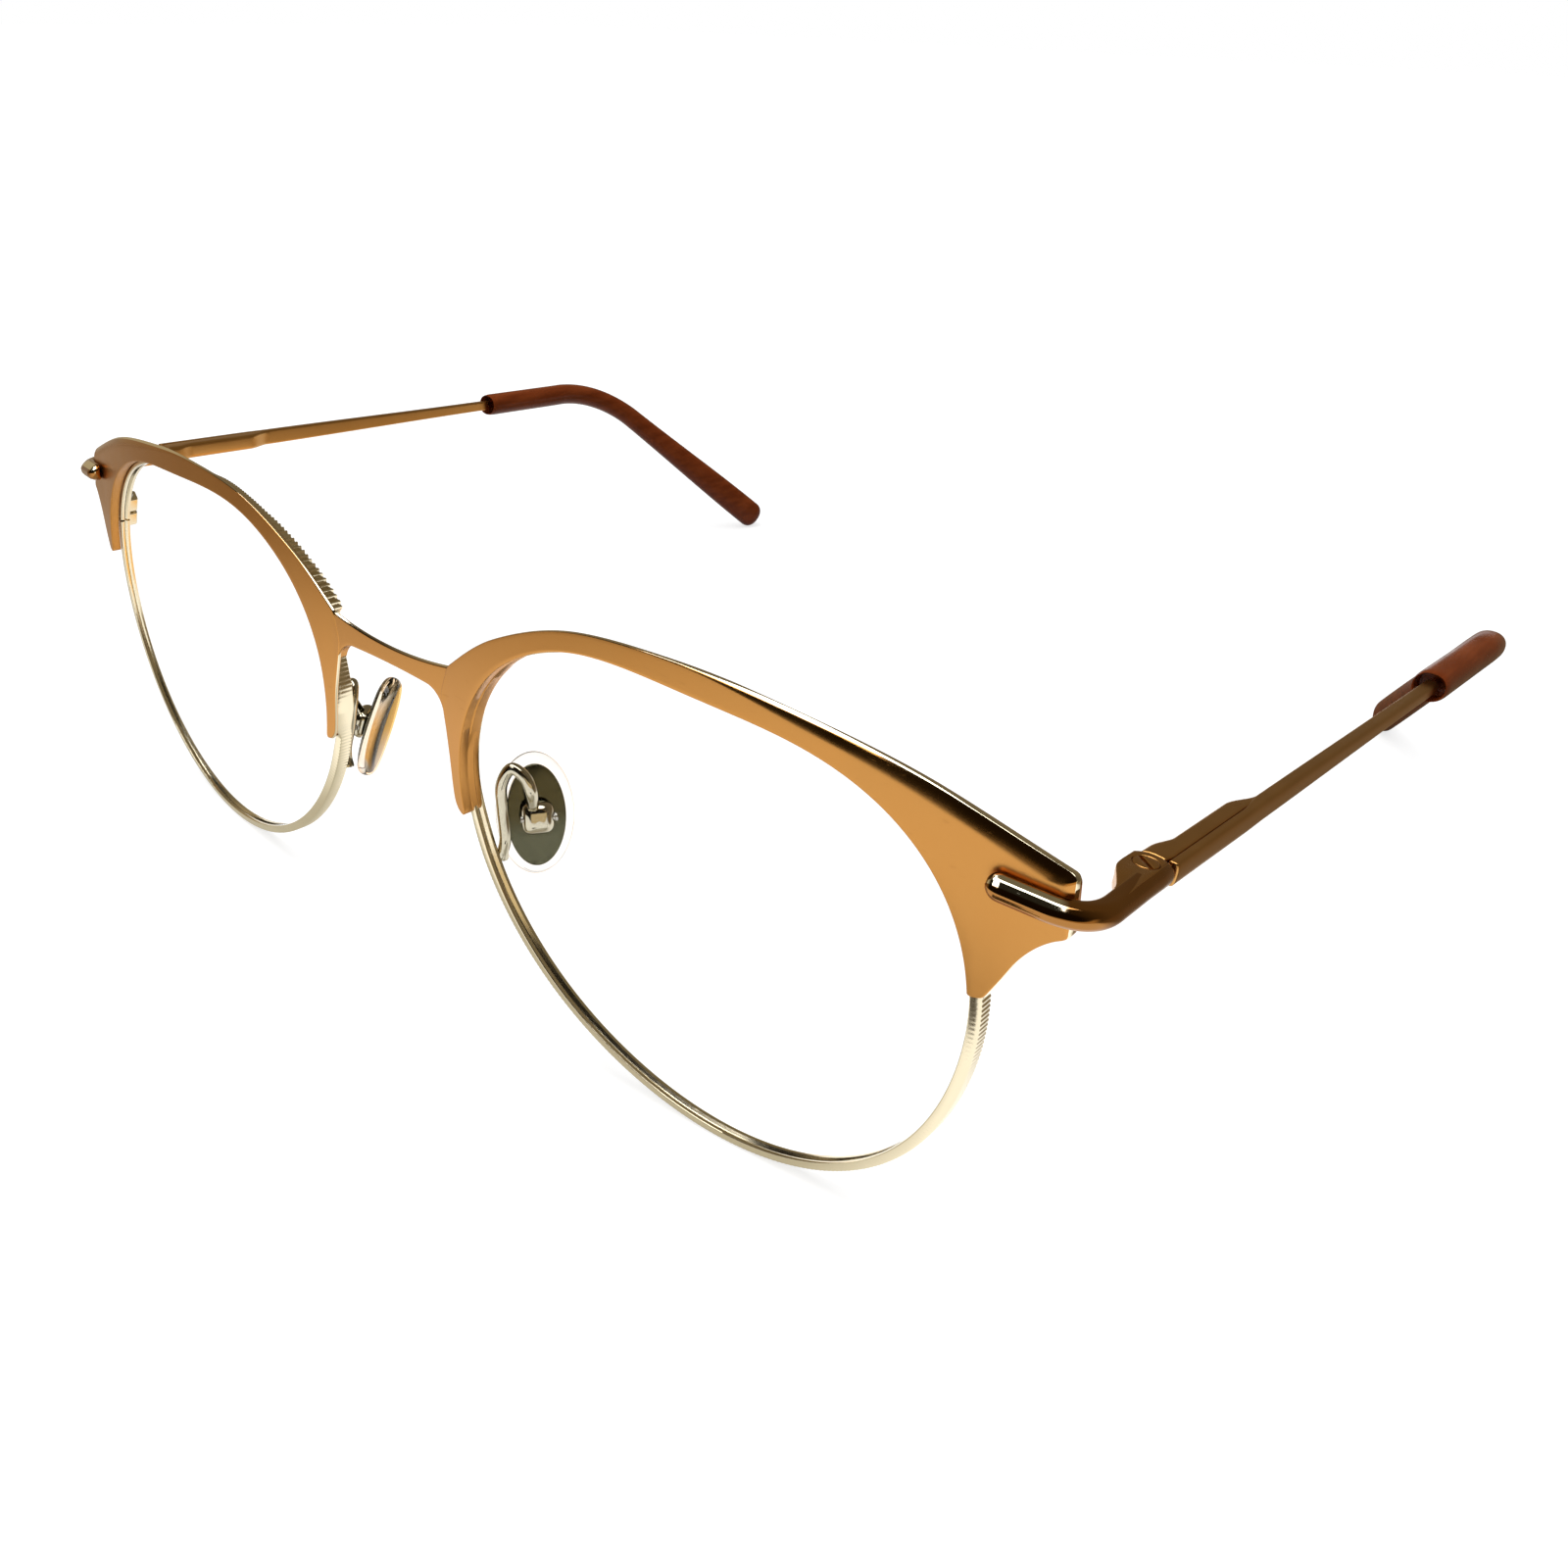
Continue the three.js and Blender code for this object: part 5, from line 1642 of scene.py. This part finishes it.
    def ears(self) -> list[Shell]:
        """Fork: two plates that sweep out of the bar, and the block between them.

        Returns:
            The skins. To the rear a plate is a circle about the screw, so that the temple can
            turn past it. Its inner side sweeps out to the bar in a hollow curve, and towards
            the front the plates sink into the bar.
        """
        inner, outer = self.ear_reach
        bend = np.array([(-inner * k, y) for y, k in self.ear_sweep])
        sweep_steps, side_steps, rear_steps = self.ear_steps
        sweep = even_spline(bend, np.linspace(0, 1, sweep_steps))
        start, end = math.acos(outer / self.ear_round), math.acos(-inner / self.ear_round)
        turn = np.linspace(start, end, rear_steps)
        rear = around(turn) * self.ear_round
        straight_run = np.linspace(sweep[-1, 1], self.ear_side, side_steps)
        outside = points_of(np.full(side_steps, outer), straight_run)
        outline = np.vstack([sweep, outside, rear])
        half = self.bar_tall / 2 - self.ear_level
        slot = self.tongue_tall / 2 + self.ear_play
        upper = washer(outline, self.head + self.ear_bore, slot, half, self.ear_bevel)
        low = np.where(outline < 0, outline * [self.ear_low, 1], outline)
        lower = washer(low, self.screw + self.ear_play, -half, -slot, self.ear_bevel)
        back = -self.knuckle - self.fork_gap
        hollow = sweep[sweep[:, 1] < back] + [self.fork_hollow, 0]
        middle = np.vstack([hollow, [(outer, sweep[-1, 1]), (outer, back)]])
        block = prism(middle, -slot - self.ear_play, slot + self.ear_play, self.fork_bevel)
        shells = []
        for shell in (upper, lower, block):
            placed = shell.points.copy()
            placed[:, 2] *= 1 - self.ear_sunk * ease(-placed[:, 1], *self.ear_sink_run)
            shells.append(self.set_in(shell.moved(placed)))
        return shells

    def bolt(self) -> list[Shell]:
        """Hinge screw with a slotted head, sunk level with the ear."""
        half = self.bar_tall / 2
        seat = half - self.head_tall
        shells = slotted_screw(self.screw, self.head, self.slot, -half, seat, self.head_tall)
        c, s = math.cos(self.slot_turn), math.sin(self.slot_turn)
        turn = np.array([[c, s, 0], [-s, c, 0], [0, 0, 1]])
        return [self.set_in(shell.moved(shell.points @ turn)) for shell in shells]

    def eye(self) -> list[Shell]:
        """Tongue: an eye on the screw, a neck, and the rod that runs into the spring case."""
        half = self.tongue_tall / 2
        foot = self.rod_start
        bevel, start = self.tongue_bevel, self.neck_start
        outline = circle(self.knuckle - self.seat, self.eye_points)
        ring = washer(outline, self.screw + self.ear_play, -half, half, bevel)
        oblong = round_oblong(self.tongue_wide / 2, foot / 2 - start, self.neck_corner)
        neck = prism(oblong, -half, half, bevel).shifted([0, foot / 2 + start, 0])
        end, (head_wide, head_long) = foot + self.rod_length, self.rod_head
        rod = circle(self.rod, self.rod_points)
        rod = prism(rod, foot - self.rod_root, end, self.rod_bevel)
        head = prism(circle(head_wide, self.rod_points), end - head_long, end, bevel)
        turned = [shell.moved(shell.points[:, [0, 2, 1]]) for shell in (rod, head)]
        return [self.set_in(shell) for shell in (ring, neck, *turned)]

    def coil_spring(self) -> Shell:
        """Coil on the rod, between the stop and the rod's head.

        Returns:
            The skin of a round wire along (r cos a, y, r sin a), with y even in the angle a.
        """
        count = self.coil_steps * self.coil_turns
        turn = np.linspace(0, 2 * math.pi * self.coil_turns, count)
        out = points_of(np.cos(turn), 0 * turn, np.sin(turn))
        line = self.coil_radius * out + np.outer(np.linspace(*self.coil, len(turn)), [0, 1, 0])
        across = unit(np.cross(headings(line), out))
        section = circle(self.coil_wire, self.coil_points)
        return self.set_in(skin(carried(line, out, across, section)))

    def shorten(self, spring: bpy.types.Object, side: Side) -> None:
        """Works out where the coil's ends lie on this side and gives the spring a mesh of its own;
        the coil itself is left as it is.
        """
        ends = np.array([[0, y, 0] for y in self.coil]) @ self.rows(self.droop) + self.hinge()
        first, last = REST.place(ends) * [side.value, 1, 1]
        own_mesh(spring)

    def case(self) -> Shell:
        """Spring case beside the bar: a block with round edges and a ramp at the rear.

        Returns:
            The skin. The inner side stands in at the nose and follows a smooth step at the
            nose and over the ramp. The front is hollow, a circle about the hinge screw, so
            that it turns close round the fork, and its edge has a small bevel.
        """
        start, end = self.front_of_temple(), self.front_of_temple() + self.case_length
        count = self.case_rings
        lead, shrink, share = np.array(self.case_lead).T
        y = np.concatenate([start + lead, np.linspace(start + self.lead_end, end, count)])
        drawn = self.case_drawn * (1 - ease(y, start, start + self.case_drawn_run))
        outer = self.bar_wide - self.arm_thick - self.case_gap - drawn
        ramp = ease(y, end - self.case_ramp, end)
        inner = self.case_nose + (self.case_inner - self.case_nose) * ease(y, *self.case_nose_run)
        end_inner, end_outer = (self.arm_inner + past for past in self.case_end)
        inner = inner + (end_inner - inner) * ramp
        outer = outer + (end_outer - outer) * ease(ramp, *self.case_end_run)
        tall = self.case_tall * (1 - self.case_end_slim * ramp)
        shrink = np.concatenate([shrink, np.zeros(count)])
        share = np.concatenate([share, np.ones(count)])
        half = points_of((outer - inner) / 2 - shrink, tall / 2 - shrink) * share[:, None]
        path = points_of((outer + inner) / 2, y, 0 * y)
        rings = straight(path, bulged(self.flat_points, *self.case_square)[None] * half[:, None])
        round_front = np.maximum(start**2 - rings[..., 0] ** 2, self.case_hollow_least)
        fading = 1 - ease(rings[..., 1], start, start + self.case_hollow_run)
        rings[..., 1] -= (start - np.sqrt(round_front)) * fading
        return self.set_in(skin(rings))

    def cap(self) -> Array:
        """How far the rings of the tip's round end lie past its line."""
        return np.linspace(self.tip_cap_start, self.tip_cap, self.tip_cap_rings)

    def tip_line(self) -> tuple[Array, Array, Array]:
        """Centre line of the tip: straight, then bent down and inwards, then straight.

        Returns:
            Points (n, 3), and the across and up directions at each, in the hinge's frame.
            The heading turns in equal shares over the bend, and each point is the last plus a
            step along its heading.
        """
        bent = self.tip_radius * self.tip_bend
        length = self.tip_straight + bent + self.tip_tail
        step = length / self.tip_steps
        share = np.clip((np.arange(self.tip_steps + 1) * step - self.tip_straight) / bent, 0, 1)
        down, inward = self.tip_bend * share, self.tip_inward * share
        level = np.cos(down)
        ahead = points_of(-np.sin(inward) * level, np.cos(inward) * level, -np.sin(down))
        start = [self.bar_wide - self.arm_thick / 2, self.front_of_temple() + self.arm_length, 0]
        points = np.vstack([start, start + np.cumsum(ahead * step, axis=0)[:-1]])
        path = wire_spline(points, self.tip_between * self.tip_steps + 1)
        path = np.vstack([path, path[-1] + np.outer(self.cap(), unit(path[-1] - path[-2]))])
        heading = headings(path)
        out = level_across(heading)
        return path, out, np.cross(out, heading)

    def tip(self) -> Shell:
        """Sleeve that swells along its length, with a countersunk mouth and a round end.

        Returns:
            The skin. Sizes grow by a smooth step from the swell on; past the line's end they
            shrink as a superellipse, and the first rings turn in to form the mouth.
        """
        path, out, up = self.tip_line()
        path = path - out * self.tip_shift
        count = self.tip_between * self.tip_steps
        place = np.arange(len(path)) / count
        swell = ease(place, self.tip_swell, 1)
        thick = self.tip_thick + (self.tip_end_thick - self.tip_thick) * swell
        tall = self.tip_tall + (self.tip_end_tall - self.tip_tall) * swell
        past = np.concatenate([np.zeros(count + 1), self.cap() / self.tip_cap])
        power = self.tip_cap_round
        close = np.maximum(1 - past**power, self.tip_cap_least) ** (1 / power)
        lip = np.concatenate([self.tip_lip, np.ones(len(path) - len(self.tip_lip))])
        size = points_of(thick, tall) / 2 * (close * lip * self.inside_box)[:, None]
        section = bulged(self.tip_section, self.tip_square, self.tip_square)[None]
        outside = carried(path, out, up, section * size[:, None])
        mouth_path = path[0] + np.outer(self.mouth_deep, [0, 1, 0])
        mouth_size = size[len(self.tip_lip) - 1] * np.array(self.mouth_wide)[:, None]
        across, rise = (np.broadcast_to(way[0], mouth_path.shape) for way in (out, up))
        mouth = carried(mouth_path, across, rise, section * mouth_size[:, None])
        return self.set_in(skin(np.concatenate([mouth, outside])))

    def bar(self) -> list[Shell]:
        """Temple bar: flat inside, round outside, tapering to the tip, with a wire inside it."""
        start, end = self.front_of_temple(), self.front_of_temple() + self.arm_length
        count = self.arm_rings
        lead, shrink = np.array(self.arm_lead).T
        run = np.linspace(start + self.lead_end, end + self.arm_sunk, count)
        y = np.concatenate([start + lead, run])
        taper = ease(y, start + self.arm_taper_from, end)
        tall = self.arm_tall + (self.arm_end_tall - self.arm_tall) * taper
        shrink = np.concatenate([shrink, np.zeros(count)])
        case_end = start + self.case_length
        inner = self.bar_wide - self.arm_thick
        inner = inner + (self.arm_inner - inner) * ease(y, case_end - self.case_ramp, case_end)
        half = points_of((self.bar_wide - inner - shrink) / 2, tall / 2 - shrink)
        section = bulged(self.flat_points, *self.arm_square)[None] * half[:, None]
        path = points_of((self.bar_wide - shrink + inner) / 2, y, 0 * y)
        flat = skin(straight(path, section))
        line, out, rise = self.tip_line()
        kept = slice(0, self.core_end, self.core_every)
        core = bulged(self.core_points) * self.core_wire
        wire = skin(carried(line[kept], out[kept], rise[kept], core))
        return [self.set_in(flat), self.set_in(wire)]

    def build(self, shop: Workshop, side: Side) -> None:
        """Makes the end bar, hinge, spring case, temple bar and tip on one side."""
        table = [
            ("end_bar", [self.end_bar()], BAR_GOLD, "front", "endpiece"),
            ("hinge_ears", self.ears(), HINGE_GOLD, "front", "hinge_fork"),
            ("hinge_bolt", self.bolt(), HINGE_GOLD, "front", "hinge_screw"),
            ("hinge_eye", self.eye(), STEEL, "tongue", "hinge_tongue"),
            ("spring_case", [self.case()], TEMPLE_GOLD, "temple", "spring_housing"),
            ("temple_bar", self.bar(), TEMPLE_GOLD, "temple", "temple_arm"),
            ("ear_tip", [self.tip()], BROWN_ACETATE, "temple", "temple_tip"),
        ]
        for name, shells, finish, body, stands_for in table:
            shop.sided(side, name, shells, finish, body, stands_for)
        coil = [self.coil_spring()]
        spring = shop.sided(side, "hinge_coil", coil, STEEL, "temple", "hinge_spring")
        self.shorten(spring, side)
        shop.dress_node(side.named("spring_stop"), STEEL)


# Studio


@dataclass(frozen=True)
class Lamp:
    """One soft area lamp: where it hangs, its two sizes in metres and its power in watts."""

    name: str
    place: Triple
    size: Span
    power: float

    def build(self) -> None:
        """Hangs the lamp, pointed at the middle of the table."""
        light = bpy.data.lights.new(self.name, "AREA")
        light.shape = "RECTANGLE"
        light.size, light.size_y = self.size
        light.energy = self.power
        made = into_scene(self.name, light)
        back = unit(np.array(self.place))
        right = unit(np.cross([0, 1, 0], back))
        turn = Matrix(points_of(right, np.cross(back, right), back).tolist()).to_4x4()
        made.matrix_world = Matrix.Translation(self.place) @ turn


@dataclass(frozen=True)
class Zone:
    """Part of the floor that mirrored rays see in a colour of its own, painted shade and reflection,
    faded at its sides.
    """

    x: Span
    y: Span
    fade: float
    colour: Colour

    def share(self, tree: Tree, x: Socket, y: Socket) -> Socket:
        """Socket, from those of x and y, that is 1 in the zone and fades to 0 at its sides."""
        mask: Socket | float = 1.0
        for place, (low, high) in ((x, self.x), (y, self.y)):
            for edge, way in ((low, self.fade), (high, -self.fade)):
                mask = maths(tree, "MULTIPLY", mask, ranged(tree, place, (edge, edge + way)))
        return mask


@dataclass(frozen=True)
class Studio:
    """White floor and background, a dark dome that only reflections see, and two lamps."""

    floor_size: float = 6.0
    floor_grey: float = 0.36
    floor_glow: float = 0.86
    shadow_reach: Span = (0.12, 0.45)
    shadow_glow: Span = (0.74, 0.96)
    floor_level: float = 1.1
    # The zones paint shade and reflections onto the floor for the metals to mirror: the dark ones
    # stand in for the frame's shadow and dim surroundings, the orange one for gold light thrown onto
    # the table by the frame.
    zones: tuple[Zone, ...] = (
        Zone((-9, -0.04), (-9, 9), 0.12, (0.34, 0.28, 0.2)),
        Zone((-0.06, 0.035), (0, 0.11), 0.02, (0.5, 0.38, 0.23)),
        Zone((0.02, 9), (0, 9), 0.025, (0.2, 0.15, 0.09)),
        Zone((0.06, 9), (-0.045, 9), 0.025, (0.2, 0.15, 0.09)),
        Zone((-9, 0.062), (-0.092, -0.05), 0.014, (0.52, 0.5, 0.44)),
        Zone((-0.06, 0.0), (-0.05, 0.01), 0.015, (1.0, 0.6, 0.2)),
    )
    ambient: float = 0.35
    dome: float = 1.4
    dome_tint: Colour = (1.0, 0.8, 0.5)
    # The card is a dark strip on the table that only mirrored rays see: it paints a dark band into
    # the end bar's reflection.
    card: Run = (0.044, -0.11, 0.07, -0.092)
    card_rise: float = 5e-4
    back_glow: Span = (0.015, 0.2)
    back_run: Span = (-0.3, 0.4)
    left_glow: Span = (0.0, 0.4)
    left_run: Span = (-0.65, -0.9)
    right_glow: Span = (0.0, 0.9)
    right_run: Span = (0.45, 0.65)
    right_front: Span = (0.1, -0.1)
    right_low: Span = (0.34, 0.24)
    lamps: tuple[Lamp, ...] = (
        Lamp("overhead_strip", (-0.03, -0.12, 1.05), (1.35, 0.45), 7.6),
        Lamp("front_softbox", (-0.12, -0.52, 0.94), (0.6, 0.5), 3.8),
    )

    def rays(self, tree: Tree) -> tuple[Socket, Socket]:
        """Sockets: 1 for camera, glossy and transmission rays; 1 for mirrored rays."""
        path = tree.nodes.new("ShaderNodeLightPath").outputs
        first = maths(tree, "MAXIMUM", path["Is Camera Ray"], path["Is Glossy Ray"])
        seen = maths(tree, "MAXIMUM", first, path["Is Transmission Ray"])
        return seen, maths(tree, "GREATER_THAN", path["Glossy Depth"], 0.5)

    def place(self, tree: Tree) -> tuple[Socket, ...]:
        """Sockets of the place on the object: the vector, then x, y and z."""
        vector = socket_of(tree, "ShaderNodeTexCoord", "Object")
        split = tree.nodes.new("ShaderNodeSeparateXYZ")
        fill(tree, split, i0=vector)
        return vector, *split.outputs

    def world(self) -> None:
        """Background: white where it is seen, softer where it only lights."""
        world = bpy.data.worlds.new("white_studio")
        bpy.context.scene.world = world
        world.use_nodes = True
        tree = world.node_tree
        level = ranged(tree, self.rays(tree)[0], target=(self.ambient, 1.0))
        fill(tree, tree.nodes["Background"], Color=(*WHITE, 1), Strength=level)

    def floor(self) -> None:
        """Pale floor whose glow grows away from the part, so that faint shadows show near it.

        Seen in a mirroring surface, the floor shows the zones of painted shade and reflection.
        """
        half = self.floor_size / 2
        mesh = bpy.data.meshes.new("floor")
        corners = [(-half, -half, 0), (half, -half, 0), (half, half, 0), (-half, half, 0)]
        mesh.from_pydata(corners, [], [(0, 1, 2, 3)])
        paint, tree, shader = painted("pale_floor", Roughness=1.0, Specular_IOR_Level=0.0)
        seen, mirrored = self.rays(tree)
        place, x, y, _ = self.place(tree)
        tint: Socket | Colour = (self.floor_level,) * 3
        for zone in self.zones:
            tint = blended(tree, zone.share(tree, x, y), tint, zone.colour)
        plain = blended(tree, mirrored, WHITE, tint)
        away = socket_of(tree, "ShaderNodeVectorMath", "Value", operation="LENGTH", i0=place)
        direct = ranged(tree, away, self.shadow_reach, self.shadow_glow)
        share = socket_of(tree, "ShaderNodeMix", 0, i0=mirrored, i2=direct, i3=self.floor_glow)
        glow = maths(tree, "MULTIPLY", seen, share)
        grey = socket_of(
            tree, "ShaderNodeVectorMath", 0, operation="SCALE", i0=plain, Scale=self.floor_grey
        )
        fill(tree, shader, Emission_Color=plain, Emission_Strength=glow, Base_Color=grey)
        mesh.materials.append(paint)
        self.add(mesh)

    def cards(self) -> None:
        """Dark dome over the table and a strip on the table, seen only by mirrored rays.

        The dome is a half sphere in rings: (cos r cos t, cos r sin t, sin r) times its radius.
        """
        round_count, rise_count = 64, 17
        turn = np.linspace(0, 2 * np.pi, round_count, endpoint=False)[None]
        rise = np.linspace(0.01, np.pi / 2 - 0.03, rise_count)[:, None]
        flat, tall = np.cos(rise) + 0 * turn, np.sin(rise) + 0 * turn
        dome = points_of(flat * np.cos(turn), flat * np.sin(turn), tall)
        index = np.arange(rise_count * round_count).reshape(rise_count, round_count)
        faces = grid_quads(index[:-1], index[1:]).tolist()
        x0, y0, x1, y1 = self.card
        strip = [(x, y, self.card_rise) for x, y in ((x0, y0), (x1, y0), (x1, y1), (x0, y1))]
        last = index.size
        faces += [index[-1].tolist(), [last, last + 1, last + 2, last + 3]]
        mesh = bpy.data.meshes.new("dark_dome")
        mesh.from_pydata(np.vstack([dome.reshape(-1, 3) * self.dome, strip]).tolist(), [], faces)
        matte = {"Base_Color": (0, 0, 0, 1), "Roughness": 1.0, "Specular_IOR_Level": 0.0}
        card, tree, shader = painted("dark_card", Emission_Color=(*self.dome_tint, 1), **matte)
        _, x, y, z = self.place(tree)

        def along(place: Socket, run: Span, glow: Span = (0, 1)) -> Socket:
            """Glow that changes over a run, which is given in shares of the dome's radius."""
            return ranged(tree, place, (run[0] * self.dome, run[1] * self.dome), glow)

        back = along(y, self.back_run, self.back_glow)
        left = along(x, self.left_run, self.left_glow)
        right = along(x, self.right_run, self.right_glow)
        for place, run in ((y, self.right_front), (z, self.right_low)):
            right = maths(tree, "MULTIPLY", right, along(place, run))
        level = maths(tree, "MAXIMUM", maths(tree, "MAXIMUM", back, left), right)
        fill(tree, shader, Emission_Strength=level)
        clear = socket_of(tree, "ShaderNodeBsdfTransparent", 0)
        mirrored = self.rays(tree)[1]
        seen = socket_of(
            tree, "ShaderNodeMixShader", 0, i0=mirrored, i1=clear, i2=shader.outputs[0]
        )
        fill(tree, tree.nodes["Material Output"], Surface=seen)
        mesh.materials.append(card)
        hood = self.add(mesh)
        hood.visible_camera = hood.visible_diffuse = hood.visible_shadow = False

    def add(self, mesh: bpy.types.Mesh) -> bpy.types.Object:
        """Puts a stage object into the scene."""
        made = into_scene(mesh.name, mesh)
        return made

    def build(self) -> None:
        """Sets the stage."""
        bpy.context.scene.view_settings.view_transform = "Standard"
        self.world()
        self.floor()
        self.cards()
        for lamp in self.lamps:
            lamp.build()


@dataclass(frozen=True)
class Viewpoint:
    """The photograph's camera, in the worn frame: place, axes, focal length and shift."""

    place: Triple = (93.317, -75.343, 62.815)
    right: Triple = (0.73454, 0.67404, 0.07818)
    down: Triple = (0.35075, -0.27853, -0.89409)
    sensor: float = 36.0
    lens: float = 30.535
    shift: Span = (0.10243, -0.02483)
    clip: Span = (0.005, 20.0)

    def build(self) -> None:
        """Adds the camera and makes it the scene's."""
        camera = bpy.data.cameras.new("photo_view")
        camera.sensor_width = self.sensor
        camera.lens = self.lens
        camera.shift_x, camera.shift_y = self.shift
        camera.clip_start, camera.clip_end = self.clip
        made = into_scene("photo_view", camera)
        right, up = unit(np.array(self.right)), -unit(np.array(self.down))
        axes = REST.matrix() @ points_of(right, up, np.cross(right, up))
        place = Matrix.Translation(REST.place(np.array(self.place)))
        made.matrix_world = place @ Matrix(axes.tolist()).to_4x4()
        bpy.context.scene.camera = made


def main() -> None:
    """Builds every sub-assembly in order, then the studio and the camera; each piece logs how many
    points it has.
    """
    logging.basicConfig(level=logging.INFO, format="%(name)s: %(message)s")
    shop = Workshop()
    BrowFront().build(shop)
    for side in Side:
        EyeWire().build(shop, side)
        NosePad().build(shop, side)
        Temple().build(shop, side)
    Studio().build()
    Viewpoint().build()


if __name__ == "__main__":
    main()
